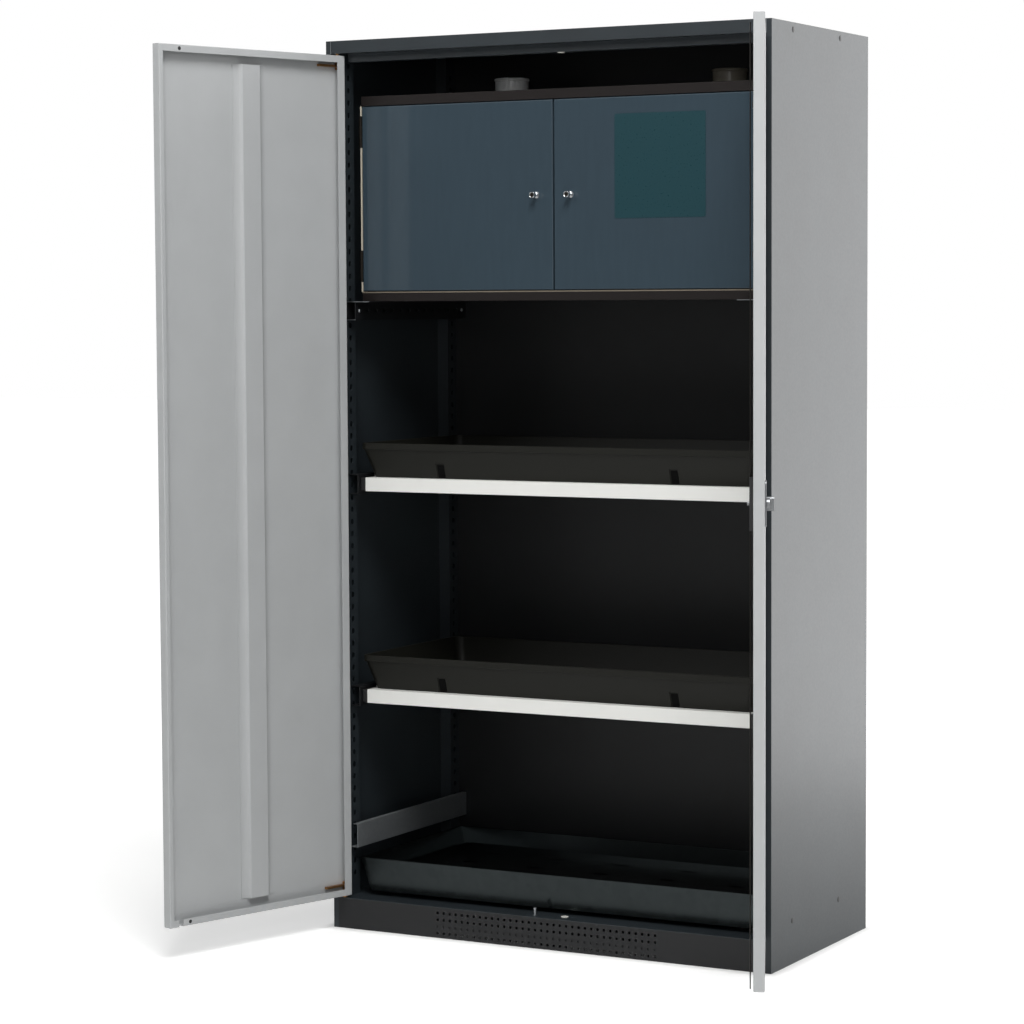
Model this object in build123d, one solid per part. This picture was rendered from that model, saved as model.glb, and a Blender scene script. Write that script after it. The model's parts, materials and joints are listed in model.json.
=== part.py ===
"""Chemical storage cabinet of sheet steel, with a safety box, two pull-out trays and a sump.

Millimetres, +Z up. The origin lies on the floor under the middle of the carcass, and the doors face -Y.
At rest both doors stand open and both trays are pushed in.
"""

from build123d import *
from math import floor, hypot
import os

# Carcass
WIDTH = 1055.0
DEPTH = 520.0
HEIGHT = 1950.0
SHEET = 1.5
ROUND_SIDES = 12
HOLE_SIDES = 6
HEM_WIDTH = 12.0
HEM_DEPTH = 22.0
FASCIA_HEIGHT = 27.0
STOP_DROP = 18.0
STOP_FLANGE = 22.0
DOOR_STOP_GAP = 0.5
PLINTH_HEIGHT = 68.0
PLINTH_RETURN = 20.0
LEDGE_SLOT_LENGTH = 18.0
LEDGE_SLOT_WIDTH = 2.5
LEDGE_SLOT_FROM_FRONT = 17.0
LEDGE_SLOT_PLACES = (62.0, 196.0)
VENT_SIZE = 6.0
VENT_PITCH = 15.0
VENT_COLUMNS = 36
VENT_ROWS = 4
VENT_FIRST_ROW = 10.0
BEAM_WIDTH = 50.0
BEAM_END_GAP = 30.0

# Levelling feet and the caps on the side screws
FOOT_PAD = 34.0
FOOT_PAD_HEIGHT = 8.0
FOOT_STUD = 10.0
FOOT_NUT = 18.0
FOOT_NUT_HEIGHT = 12.0
FOOT_INSET = 60.0
CAP_SIZE = 13.0
CAP_PROUD = 1.2
CAP_FRONT = 110.0
CAP_REAR = 362.0
CAP_TOP = 15.0
CAP_BOTTOM = 92.0

# Slotted uprights on the side walls
UPRIGHT_DEPTH = 27.0
UPRIGHT_WIDTH = 40.0
UPRIGHT_FRONT_GAP = 4.0
SLOT_WIDTH = 4.0
SLOT_HEIGHT = 13.0
SLOT_PITCH = 54.0
SLOT_END_GAP = 60.0

# Doors: folded pans that turn on pins near their outer edges
DOOR_SHEET = 1.2
DOOR_DEPTH = 22.0
DOOR_SIDE_GAP = 4.0
DOOR_END_GAP = 5.0
MEETING_GAP = 3.0
DOOR_EDGE_BEVEL = 1.2
HINGE_LIP = 21.0
FREE_LIP = 10.0
END_LIP = 15.0
RIB_WEB = 50.0
RIB_FLANGE = 15.0
RIB_RISE = 10.0
RIB_SLOPE = 5.0
RIB_END_GAP = 16.0
PIVOT_SIDE = 12.5
PIVOT_BACK = 7.5
SWING_GAP = 1.0
PIN_SIZE = 7.0
PIN_FIT = 0.05
PIN_REACH = 10.0
PIN_TAIL = 30.0
BUSH_SIZE = 11.0
BUSH_LENGTH = 12.0
BUSH_FIT = 0.1
COLLAR_SIZE = 12.0
COLLAR_FIT = 0.3
LEVER_LENGTH = 56.0
LEVER_HEIGHT = 5.0
BOLT_SIZE = 8.0
LEVER_DROP = 22.0
LEFT_REST_ANGLE = 107.0
RIGHT_REST_ANGLE = 113.5

# Lock of the right door, with its rods, and the catch pin of the left door
HANDLE_HEIGHT = 1000.0
PLATE_WIDTH = 32.0
PLATE_HEIGHT = 87.0
PLATE_THICK = 3.0
PLATE_RADIUS = 6.0
GRIP_BOSS = 24.0
GRIP_BOSS_LENGTH = 6.0
GRIP_LENGTH = 27.0
GRIP_WIDTH = 9.0
GRIP_PROUD = 14.0
SPINDLE_SIZE = 8.0
TURN_FIT = 0.3
LOCK_WIDTH = 40.0
LOCK_HEIGHT = 100.0
LOCK_WALL = 3.0
ROD_SIZE = 7.0
ROD_FROM_MIDDLE = 34.0
ROD_FROM_FRONT = 30.0
ROD_TRAVEL = 15.0
ROD_HOLD = 25.0
ROD_FIT = 0.3
ROD_TIP_GAP = 2.5
GUIDE_WIDTH = 24.0
GUIDE_HEIGHT = 12.0
GUIDE_WALL = 2.5
GUIDES_PER_ROD = 3
SOCKET_SIZE = 15.0
SOCKET_BORE = 8.2
SOCKET_NECK = 10.4
SOCKET_RIM = 1.5
CATCH_FROM_MIDDLE = 31.0
CATCH_FROM_FRONT = 17.0
CATCH_SIZE = 5.0
CATCH_BASE = 11.0
CATCH_BASE_HEIGHT = 1.5
CATCH_HEAD = 7.0
CATCH_HEIGHT = 17.0
CATCH_NOTCH = 12.0

# Safety box, carried on two rails
BOX_SIDE_GAP = 25.0
BOX_TOP_GAP = 116.5
BOX_HEIGHT = 447.0
BOX_FROM_FRONT = 57.0
BOX_BACK_GAP = 22.0
BOX_BOARD = 21.0
BOX_DOOR_THICK = 20.0
BOX_DOOR_GAP = 1.5
BOX_DOOR_BEVEL = 1.5
BOX_HINGE_LENGTH = 66.0
BOX_HINGE_INSET = 56.0
BOX_HINGE_BARREL = 8.0
BOX_HINGE_PIN = 4.0
BOX_HINGE_LEAF = 1.5
BOX_HINGE_LEAF_WIDTH = 32.0
BOX_HINGE_GAP = 0.3
BOX_KNOB_SIZE = 14.0
BOX_KNOB_NECK = 8.0
BOX_KNOB_LENGTH = 22.0
BOX_KNOB_HEAD = 11.0
BOX_KNOB_ROSE = 2.0
BOX_KNOB_FROM_MIDDLE = 41.0
SPIGOT_SIZE = 75.0
SPIGOT_WALL = 2.0
SPIGOT_HEIGHT = 50.0
SPIGOT_FLANGE = 95.0
SPIGOT_BEAD = 2.0
SPIGOT_BEAD_HEIGHT = 6.0
SPIGOT_FROM_MIDDLE = 268.0
SPIGOT_FROM_FRONT = 371.0
BOX_RAIL_HEIGHT = 41.0
BOX_RAIL_FOOT = 25.0
BOX_RAIL_SHELF = 60.0

# Pull-out trays on telescopic slides
TRAY_CLEAR = 363.0
TRAY_FROM_FRONT = 42.0
TRAY_BACK_GAP = 48.0
TRAY_FRAME_HEIGHT = 30.0
TRAY_FRAME_SHEET = 1.5
TRAY_FRAME_RETURN = 10.0
TUB_HEIGHT = 76.0
TUB_WALL = 3.0
TUB_RIM_HEIGHT = 4.0
TUB_RIM_PROUD = 3.0
TUB_RIM_OVERHANG = 15.5
TUB_FRONT_DRAFT = 20.0
TUB_TOE_IN = 5.5
TUB_CORNER = 18.0
NOTCH_FROM_MIDDLE = 281.0
NOTCH_WIDTH = 20.0
NOTCH_HEIGHT = 34.0
NOTCH_DEPTH = 1.6
PRONG_WIDTH = 12.0
PRONG_HEIGHT = 12.0
PRONG_FRONT = 40.0
PRONG_REAR = 307.0
CARRIER_DEPTH = 24.0
CARRIER_HEIGHT = 44.0
CARRIER_END_GAP = 6.0
SLIDE_THICK = 13.0
SLIDE_SHEET = 1.2
SLIDE_GAP = 0.4
SLIDE_HALF_HEIGHT = 14.8
SLIDE_INNER_WIDTH = 8.0
SLIDE_MIDDLE_WIDTH = 8.2
SLIDE_OUTER_WIDTH = 9.0
SLIDE_HOLE = 6.0
SLIDE_HOLES = 3
END_CAP_LENGTH = 10.0
END_CAP_BEVEL = 2.0

# Sump on the floor, its standing plate and the side rails above it
SUMP_SIDE_GAP = 15.0
SUMP_FROM_FRONT = 36.0
SUMP_BACK_GAP = 24.0
SUMP_LIFT = 11.0
SUMP_HEIGHT = 75.0
SUMP_SHEET = 1.5
SUMP_SIDE_DRAFT = 18.0
SUMP_FRONT_DRAFT = 10.0
SUMP_EDGE = 4.0
GLIDE_SIZE = 24.0
GLIDE_INSET = 60.0
STAND_HEIGHT = 38.0
STAND_GAP = 4.0
STAND_SHEET = 1.5
STAND_HOLE_LENGTH = 40.0
STAND_HOLE_WIDTH = 14.0
STAND_HOLE_PITCH_X = 165.0
STAND_HOLE_PITCH_Y = 110.0
STAND_HOLE_COLUMNS = 5
STAND_HOLE_ROWS = 3
SIDE_RAIL_LIFT = 23.0
SIDE_RAIL_HEIGHT = 53.0
SIDE_RAIL_DEPTH = 19.0
SIDE_RAIL_LIP = 12.0

# Places that follow from the sizes above
FRONT = -DEPTH / 2
BACK = DEPTH / 2
OUTER = WIDTH / 2
SKIN = OUTER - SHEET
HEM = OUTER - HEM_WIDTH
LID = HEIGHT - SHEET
INNER = SKIN - UPRIGHT_DEPTH
FASCIA_BOTTOM = HEIGHT - FASCIA_HEIGHT
STOP_BOTTOM = FASCIA_BOTTOM - STOP_DROP
DOOR_BACK = FRONT + DOOR_DEPTH
STOP_FACE = DOOR_BACK + DOOR_STOP_GAP
DOOR_HINGE_EDGE = HEM - DOOR_SIDE_GAP
DOOR_FREE_EDGE = MEETING_GAP / 2
DOOR_BOTTOM = PLINTH_HEIGHT + DOOR_END_GAP
DOOR_TOP = FASCIA_BOTTOM - DOOR_END_GAP
PIVOT_X = HEM - PIVOT_SIDE
PIVOT_Y = FRONT + PIVOT_BACK
DOOR_SWING = hypot(DOOR_HINGE_EDGE - PIVOT_X, DOOR_BACK - PIVOT_Y)
ROD_Y = FRONT + ROD_FROM_FRONT
LOCK_BACK = ROD_Y + ROD_SIZE / 2 + LOCK_WALL
LOCK_BORE_DEPTH = ROD_TRAVEL + ROD_HOLD
SOCKET_LENGTH = ROD_TRAVEL - ROD_TIP_GAP - SOCKET_RIM
UPRIGHT_FRONT = DOOR_BACK + UPRIGHT_FRONT_GAP
UPRIGHT_REAR = BACK - SHEET - UPRIGHT_WIDTH
BOX_HALF = INNER - BOX_SIDE_GAP
BOX_FRONT = FRONT + BOX_FROM_FRONT
BOX_BACK = BACK - BOX_BACK_GAP
BOX_TOP = LID - BOX_TOP_GAP
BOX_BOTTOM = BOX_TOP - BOX_HEIGHT
BOX_FLOOR = BOX_BOTTOM + BOX_BOARD
BOX_ROOF = BOX_TOP - BOX_BOARD
BOX_DOOR_BACK = BOX_FRONT + BOX_DOOR_THICK
BOX_SIDES_FRONT = BOX_DOOR_BACK + BOX_DOOR_GAP
BOX_DOOR_EDGE = BOX_HALF - BOX_HINGE_LEAF
BOX_PIVOT_X = BOX_HALF + BOX_HINGE_BARREL / 2
BOX_PIVOT_Y = BOX_FRONT + BOX_HINGE_BARREL / 2
TRAY_FRONT = FRONT + TRAY_FROM_FRONT
TRAY_BACK = BACK - TRAY_BACK_GAP
SLIDE_FACE = INNER - CARRIER_DEPTH
FRAME_HALF = SLIDE_FACE - SLIDE_THICK
RIM_HALF = FRAME_HALF + TUB_RIM_OVERHANG
SUMP_HALF = INNER - SUMP_SIDE_GAP
SUMP_FRONT = FRONT + SUMP_FROM_FRONT
SUMP_BACK = BACK - SUMP_BACK_GAP
SUMP_BOTTOM = PLINTH_HEIGHT + SUMP_LIFT
SIDE_RAIL_BOTTOM = SUMP_BOTTOM + SUMP_HEIGHT + SIDE_RAIL_LIFT
SIDE_RAIL_TOP = SIDE_RAIL_BOTTOM + SIDE_RAIL_HEIGHT
BOX_RAIL_BOTTOM = BOX_BOTTOM - BOX_RAIL_HEIGHT
TRAY_MIDDLE = (SIDE_RAIL_TOP + BOX_RAIL_BOTTOM) / 2
UPPER_TRAY_BOTTOM = TRAY_MIDDLE + TRAY_CLEAR / 2
LOWER_TRAY_BOTTOM = TRAY_MIDDLE - TRAY_CLEAR / 2 - TRAY_FRAME_HEIGHT - TUB_HEIGHT


def block(x, y, z):
    """A box between the two ends given for each axis."""
    size = [high - low for low, high in (x, y, z)]
    middle = [(low + high) / 2 for low, high in (x, y, z)]
    return Pos(*middle) * Box(*size)


def rod(radius, low, high, x=0.0, y=0.0):
    """An upright cylinder between two heights."""
    return Pos(x, y, (low + high) / 2) * Cylinder(radius, high - low)


def prism(radius, low, high, x=0.0, y=0.0):
    """An upright piece, round but for its flat facets, that just holds a cylinder of the radius."""
    outline = RegularPolygon(radius, ROUND_SIDES, major_radius=False)
    return Pos(x, y, low) * extrude(outline, high - low)


def cross_rod(radius, low, high, x, z):
    """A cylinder along Y between two depths."""
    return Pos(x, (low + high) / 2, z) * Rot(90, 0, 0) * Cylinder(radius, high - low)


def folded(points, sheet, length):
    """A sheet folded along points of the XY plane, sheet to their left, standing length high."""
    outline = offset(Polyline(*points), sheet, kind=Kind.INTERSECTION, side=Side.LEFT)
    return extrude(make_face(outline.edges()), length, dir=(0, 0, 1))


def folded_along_x(points, sheet, low, high):
    """A folded sheet whose section is given as (y, z) and which runs along X."""
    return Pos(low, 0, 0) * (Plane.YZ * folded(points, sheet, high - low))


def folded_along_y(points, sheet, low, high):
    """A folded sheet whose section is given as (x, z) and which runs along Y."""
    return Pos(0, high, 0) * (Plane.XZ * folded(points, sheet, high - low))


def mirrored(piece):
    """The same piece for the other side of the cabinet."""
    return mirror(piece, about=Plane.YZ)


def both_sides(piece):
    """A piece and its mirror image, as separate solids."""
    return [piece, mirrored(piece)]


def turned(piece, x, y, angle):
    """A piece turned about an upright axis."""
    return Pos(x, y, 0) * Rot(0, 0, angle) * Pos(-x, -y, 0) * piece


def make_side_panel():
    """Right side: one sheet with a box hem along its front edge."""
    section = [(HEM, FRONT + HEM_DEPTH), (HEM, FRONT), (OUTER, FRONT), (OUTER, BACK)]
    return folded(section, SHEET, LID)


def make_back_panel():
    return block((-SKIN, SKIN), (BACK - SHEET, BACK), (0, LID))


def make_top_panel():
    return block((-OUTER, OUTER), (FRONT, BACK), (LID, HEIGHT))


def make_fascia():
    """Header above the doors: front strip, pivot shelf, door stop and the shelf for the upper rod."""
    section = [
        (FRONT, LID),
        (FRONT, FASCIA_BOTTOM),
        (STOP_FACE, FASCIA_BOTTOM),
        (STOP_FACE, STOP_BOTTOM),
        (STOP_FACE + STOP_FLANGE, STOP_BOTTOM),
    ]
    fascia = folded_along_x(section, SHEET, -HEM, HEM)
    bush_hole = BUSH_SIZE / 2 + BUSH_FIT
    for x in (-PIVOT_X, PIVOT_X):
        fascia -= prism(bush_hole, FASCIA_BOTTOM - SHEET, FASCIA_BOTTOM + 2 * SHEET, x, PIVOT_Y)
    beside_pivot = block(
        (min(PIVOT_X - DOOR_SWING, INNER) - SWING_GAP, OUTER),
        (STOP_FACE - SHEET, STOP_FACE + 2 * STOP_FLANGE),
        (STOP_BOTTOM - SHEET, FASCIA_BOTTOM),
    )
    fascia -= both_sides(beside_pivot)
    socket_hole = SOCKET_NECK / 2 + BUSH_FIT
    low, high = STOP_BOTTOM - SHEET, STOP_BOTTOM + 2 * SHEET
    return fascia - prism(socket_hole, low, high, ROD_FROM_MIDDLE, ROD_Y)


def make_floor_panel():
    """Cabinet floor, whose front edge is the ledge under the doors."""
    low, high = PLINTH_HEIGHT - SHEET, PLINTH_HEIGHT
    panel = block((-SKIN, SKIN), (FRONT, BACK - SHEET), (low, high))
    hem_corner = block((HEM, OUTER), (FRONT - SHEET, FRONT + HEM_DEPTH), (low - SHEET, high + SHEET))
    panel -= both_sides(hem_corner)
    for x in (-PIVOT_X, PIVOT_X):
        panel -= prism(BUSH_SIZE / 2 + BUSH_FIT, low - SHEET, high + SHEET, x, PIVOT_Y)
    slot_middle = FRONT + LEDGE_SLOT_FROM_FRONT
    slot_y = (slot_middle - LEDGE_SLOT_WIDTH / 2, slot_middle + LEDGE_SLOT_WIDTH / 2)
    for x in LEDGE_SLOT_PLACES:
        slot_x = (x - LEDGE_SLOT_LENGTH / 2, x + LEDGE_SLOT_LENGTH / 2)
        panel -= both_sides(block(slot_x, slot_y, (low - SHEET, high + SHEET)))
    return panel - prism(SOCKET_NECK / 2 + BUSH_FIT, low - SHEET, high + SHEET, ROD_FROM_MIDDLE, ROD_Y)


def make_plinth():
    """Plinth front with its grid of vent holes and a flange along the floor."""
    top = PLINTH_HEIGHT - SHEET
    section = [(FRONT, top), (FRONT, 0), (FRONT + PLINTH_RETURN, 0)]
    plinth = folded_along_x(section, SHEET, -HEM, HEM)
    vent = RegularPolygon(VENT_SIZE / 2, HOLE_SIDES)
    middle_row = VENT_FIRST_ROW + (VENT_ROWS - 1) * VENT_PITCH / 2
    grid = [place * vent for place in GridLocations(VENT_PITCH, VENT_PITCH, VENT_COLUMNS, VENT_ROWS)]
    front_plane = Plane((0, FRONT - SHEET, middle_row), x_dir=(1, 0, 0), z_dir=(0, -1, 0))
    return plinth - extrude(front_plane * (Sketch() + grid), -3 * SHEET)


def make_floor_beam():
    """Channel under the middle of the floor, open at the top."""
    half = BEAM_WIDTH / 2
    top = PLINTH_HEIGHT - SHEET
    section = [(-half, top), (-half, 0), (half, 0), (half, top)]
    return folded_along_y(section, SHEET, FRONT + BEAM_END_GAP, BACK - BEAM_END_GAP)


def make_feet():
    """Levelling feet: a pad, a stud and the nut under the floor."""
    top = PLINTH_HEIGHT - SHEET
    foot = prism(FOOT_PAD / 2, 0, FOOT_PAD_HEIGHT)
    foot += prism(FOOT_STUD / 2, 0, top)
    nut = extrude(RegularPolygon(FOOT_NUT / 2, HOLE_SIDES), FOOT_NUT_HEIGHT)
    foot += Pos(0, 0, top - FOOT_NUT_HEIGHT) * nut
    spots = GridLocations(WIDTH - 2 * FOOT_INSET, DEPTH - 2 * FOOT_INSET, 2, 2)
    return [spot * foot for spot in spots]


def make_side_caps():
    """Round caps over the screws of the side panels."""
    caps = []
    for y in (FRONT + CAP_FRONT, FRONT + CAP_REAR):
        for z in (HEIGHT - CAP_TOP, CAP_BOTTOM):
            cap = Pos(OUTER, y, z) * Rot(0, 90, 0) * prism(CAP_SIZE / 2, 0, CAP_PROUD)
            caps += both_sides(cap)
    return caps


def make_upright(front):
    """Right slotted upright: a channel whose web faces the inside of the cabinet."""
    back = front + UPRIGHT_WIDTH
    section = [(SKIN, back), (INNER, back), (INNER, front), (SKIN, front)]
    height = LID - PLINTH_HEIGHT
    upright = Pos(0, 0, PLINTH_HEIGHT) * folded(section, SHEET, height)
    count = floor((height - 2 * SLOT_END_GAP) / SLOT_PITCH) + 1
    slot = Rectangle(SLOT_WIDTH, SLOT_HEIGHT)
    slots = [place * slot for place in GridLocations(0, SLOT_PITCH, 1, count)]
    middle = (INNER - SHEET, (front + back) / 2, (PLINTH_HEIGHT + LID) / 2)
    web = Plane(middle, x_dir=(0, 1, 0), z_dir=(1, 0, 0))
    return upright - extrude(web * (Sketch() + slots), 3 * SHEET)


def make_uprights(front):
    return both_sides(make_upright(front))


def make_bushes():
    """Bushes for the door pivots, in the header and in the floor, and the sockets for the lock rods."""
    bush = prism(BUSH_SIZE / 2, 0, BUSH_LENGTH) - rod(PIN_SIZE / 2 + PIN_FIT, 0, BUSH_LENGTH)
    bushes = []
    for z in (FASCIA_BOTTOM, PLINTH_HEIGHT - BUSH_LENGTH):
        for x in (-PIVOT_X, PIVOT_X):
            bushes.append(Pos(x, PIVOT_Y, z) * bush)
    socket = prism(SOCKET_SIZE / 2, 0, SOCKET_RIM) + prism(SOCKET_NECK / 2, -SOCKET_LENGTH, 0)
    socket -= prism(SOCKET_BORE / 2, -SOCKET_LENGTH, SOCKET_RIM)
    lower = Pos(ROD_FROM_MIDDLE, ROD_Y, PLINTH_HEIGHT) * socket
    upper = Pos(ROD_FROM_MIDDLE, ROD_Y, STOP_BOTTOM) * Rot(180, 0, 0) * socket
    return bushes + [lower, upper]


def make_catch_pin():
    """Pin on the ledge that steadies the left door."""
    pin = prism(CATCH_BASE / 2, 0, CATCH_BASE_HEIGHT)
    pin += prism(CATCH_SIZE / 2, 0, CATCH_HEIGHT)
    pin += prism(CATCH_HEAD / 2, CATCH_HEIGHT - CATCH_HEAD / 2, CATCH_HEIGHT)
    return Pos(-CATCH_FROM_MIDDLE, FRONT + CATCH_FROM_FRONT, PLINTH_HEIGHT) * pin


def door_pan():
    """Closed right door: skin, four edges and the lips folded in behind them."""
    x = (DOOR_FREE_EDGE, DOOR_HINGE_EDGE)
    z = (DOOR_BOTTOM, DOOR_TOP)
    pan = block(x, (FRONT, DOOR_BACK), z)
    pan = chamfer(pan.faces().sort_by(Axis.Y)[0].edges(), DOOR_EDGE_BEVEL)
    t = DOOR_SHEET
    pan -= block((x[0] + t, x[1] - t), (FRONT + t, DOOR_BACK - t), (z[0] + t, z[1] - t))
    window_x = (x[0] + FREE_LIP, x[1] - HINGE_LIP)
    pan -= block(window_x, (DOOR_BACK - 2 * t, DOOR_BACK + t), (z[0] + END_LIP, z[1] - END_LIP))
    for low, high in ((z[0] - t, z[0] + 2 * t), (z[1] - 2 * t, z[1] + t)):
        pan -= prism(PIN_SIZE / 2 + BUSH_FIT, low, high, PIVOT_X, PIVOT_Y)
    return pan


def make_left_door():
    """Left pan, with the notch that lets the catch pin in."""
    pan = mirrored(door_pan())
    notch_front = FRONT + CATCH_FROM_FRONT - CATCH_NOTCH / 2
    notch_x = (-CATCH_FROM_MIDDLE - CATCH_NOTCH / 2, -CATCH_FROM_MIDDLE + CATCH_NOTCH / 2)
    notch_top = PLINTH_HEIGHT + CATCH_HEIGHT + DOOR_END_GAP
    return pan - block(notch_x, (notch_front, DOOR_BACK + SHEET), (DOOR_BOTTOM - SHEET, notch_top))


def make_right_door():
    """Right pan, with the hole for the handle's spindle."""
    bore = SPINDLE_SIZE / 2 + TURN_FIT
    low, high = FRONT - DOOR_SHEET, FRONT + 2 * DOOR_SHEET
    return door_pan() - cross_rod(bore, low, high, ROD_FROM_MIDDLE, HANDLE_HEIGHT)


def make_rib():
    """Hat-shaped stiffener up the middle of a door's inner face."""
    middle = (DOOR_FREE_EDGE + DOOR_HINGE_EDGE) / 2
    foot = FRONT + DOOR_SHEET
    crown = foot + RIB_RISE
    half_web = RIB_WEB / 2
    half_base = half_web + RIB_SLOPE
    half_all = half_base + RIB_FLANGE
    t = DOOR_SHEET
    section = [
        (middle + half_all, foot + t),
        (middle + half_base, foot + t),
        (middle + half_web, crown),
        (middle - half_web, crown),
        (middle - half_base, foot + t),
        (middle - half_all, foot + t),
    ]
    low = DOOR_BOTTOM + END_LIP + RIB_END_GAP
    high = DOOR_TOP - END_LIP - RIB_END_GAP
    return Pos(0, 0, low) * folded(section, t, high - low)


def make_pivot_bolts():
    """Right door's pivot bolts: a round pin, a slide with a lever, and the collar under the door."""
    half = BOLT_SIZE / 2
    slide_x = (PIVOT_X - half, PIVOT_X + half)
    lever_x = (PIVOT_X - LEVER_LENGTH, PIVOT_X)
    depth = (PIVOT_Y - half, PIVOT_Y + half)
    bolts = []
    for tip, end, inward in (
        (PLINTH_HEIGHT - PIN_REACH, DOOR_BOTTOM, 1),
        (FASCIA_BOTTOM + PIN_REACH, DOOR_TOP, -1),
    ):
        root = end + inward * DOOR_SHEET
        tail = end + inward * PIN_TAIL
        lever = end + inward * LEVER_DROP
        bolt = rod(PIN_SIZE / 2, min(tip, root), max(tip, root), PIVOT_X, PIVOT_Y)
        bolt += block(slide_x, depth, (min(root, tail), max(root, tail)))
        bolt += block(lever_x, depth, (lever - LEVER_HEIGHT / 2, lever + LEVER_HEIGHT / 2))
        bolts.append(bolt)
    bolts[0] += prism(COLLAR_SIZE / 2, PLINTH_HEIGHT + COLLAR_FIT, DOOR_BOTTOM, PIVOT_X, PIVOT_Y)
    return bolts


def make_handle_plate():
    plate = RectangleRounded(PLATE_WIDTH, PLATE_HEIGHT, PLATE_RADIUS) - Circle(SPINDLE_SIZE / 2 + TURN_FIT)
    face = Plane((ROD_FROM_MIDDLE, FRONT, HANDLE_HEIGHT), x_dir=(1, 0, 0), z_dir=(0, -1, 0))
    return extrude(face * plate, PLATE_THICK)


def make_grip():
    """Turn handle: spindle, round boss and upright grip."""
    face = FRONT - PLATE_THICK - TURN_FIT
    x, z = ROD_FROM_MIDDLE, HANDLE_HEIGHT
    grip = cross_rod(GRIP_BOSS / 2, face - GRIP_BOSS_LENGTH, face, x, z)
    front_plane = Plane((x, face, z), x_dir=(1, 0, 0), z_dir=(0, -1, 0))
    grip += extrude(front_plane * SlotOverall(GRIP_LENGTH, GRIP_WIDTH, rotation=90), GRIP_PROUD)
    return grip + cross_rod(SPINDLE_SIZE / 2, face, LOCK_BACK - LOCK_WALL, x, z)


def make_lock_case():
    """Lock case behind the handle, bored for the spindle and for both rods."""
    x, z = ROD_FROM_MIDDLE, HANDLE_HEIGHT
    case = block(
        (x - LOCK_WIDTH / 2, x + LOCK_WIDTH / 2),
        (FRONT + DOOR_SHEET, LOCK_BACK),
        (z - LOCK_HEIGHT / 2, z + LOCK_HEIGHT / 2),
    )
    case -= cross_rod(SPINDLE_SIZE / 2 + TURN_FIT, FRONT, LOCK_BACK - LOCK_WALL + TURN_FIT, x, z)
    bore = ROD_SIZE / 2 + ROD_FIT
    case -= prism(bore, z + LOCK_HEIGHT / 2 - LOCK_BORE_DEPTH, z + LOCK_HEIGHT / 2, x, ROD_Y)
    return case - prism(bore, z - LOCK_HEIGHT / 2, z - LOCK_HEIGHT / 2 + LOCK_BORE_DEPTH, x, ROD_Y)


def upper_rod_ends():
    """Drawn back, the upper rod stops below the header's lower shelf."""
    low = HANDLE_HEIGHT + LOCK_HEIGHT / 2 - LOCK_BORE_DEPTH + ROD_FIT
    return low, STOP_BOTTOM - SOCKET_RIM - ROD_TIP_GAP


def lower_rod_ends():
    """Drawn back, the lower rod stops above the ledge."""
    high = HANDLE_HEIGHT - LOCK_HEIGHT / 2 + LOCK_BORE_DEPTH - ROD_FIT
    return PLINTH_HEIGHT + SOCKET_RIM + ROD_TIP_GAP, high


def make_lock_rod(ends):
    return rod(ROD_SIZE / 2, ends[0], ends[1], ROD_FROM_MIDDLE, ROD_Y)


def make_rod_guides():
    """Guides that stand on the door's skin and hold the lock rods."""
    x = (ROD_FROM_MIDDLE - GUIDE_WIDTH / 2, ROD_FROM_MIDDLE + GUIDE_WIDTH / 2)
    bore = ROD_SIZE / 2 + ROD_FIT
    back = ROD_Y + bore + GUIDE_WALL
    guides = []
    for low, high in (
        (DOOR_BOTTOM + END_LIP + RIB_END_GAP, HANDLE_HEIGHT - LOCK_HEIGHT / 2),
        (HANDLE_HEIGHT + LOCK_HEIGHT / 2, DOOR_TOP - END_LIP - RIB_END_GAP),
    ):
        step = (high - low) / GUIDES_PER_ROD
        for k in range(GUIDES_PER_ROD):
            z = low + (k + 0.5) * step
            guide = block(x, (FRONT + DOOR_SHEET, back), (z - GUIDE_HEIGHT / 2, z + GUIDE_HEIGHT / 2))
            guide -= prism(bore, z - GUIDE_HEIGHT, z + GUIDE_HEIGHT, ROD_FROM_MIDDLE, ROD_Y)
            guides.append(guide)
    return guides


def make_box_sides():
    side = block((BOX_HALF - BOX_BOARD, BOX_HALF), (BOX_SIDES_FRONT, BOX_BACK), (BOX_FLOOR, BOX_ROOF))
    return both_sides(side)


def make_box_back():
    half = BOX_HALF - BOX_BOARD
    return block((-half, half), (BOX_BACK - BOX_BOARD, BOX_BACK), (BOX_FLOOR, BOX_ROOF))


def make_box_floor():
    return block((-BOX_HALF, BOX_HALF), (BOX_FRONT, BOX_BACK), (BOX_BOTTOM, BOX_FLOOR))


def make_box_roof():
    """Roof board with the two duct holes."""
    roof = block((-BOX_HALF, BOX_HALF), (BOX_FRONT, BOX_BACK), (BOX_ROOF, BOX_TOP))
    for x in (-SPIGOT_FROM_MIDDLE, SPIGOT_FROM_MIDDLE):
        roof -= rod(SPIGOT_SIZE / 2 - SPIGOT_WALL, BOX_ROOF, BOX_TOP, x, FRONT + SPIGOT_FROM_FRONT)
    return roof


def make_spigot(x):
    """Duct spigot: a flanged tube with a bead round its open end."""
    outer = SPIGOT_SIZE / 2
    bore = outer - SPIGOT_WALL
    bead_low = SPIGOT_HEIGHT - SPIGOT_BEAD_HEIGHT
    tube = prism(SPIGOT_FLANGE / 2, 0, SPIGOT_WALL) + rod(outer, 0, SPIGOT_HEIGHT)
    tube += rod(outer + SPIGOT_BEAD, bead_low, SPIGOT_HEIGHT)
    tube -= rod(bore, 0, SPIGOT_HEIGHT)
    return Pos(x, FRONT + SPIGOT_FROM_FRONT, BOX_TOP) * tube


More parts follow.
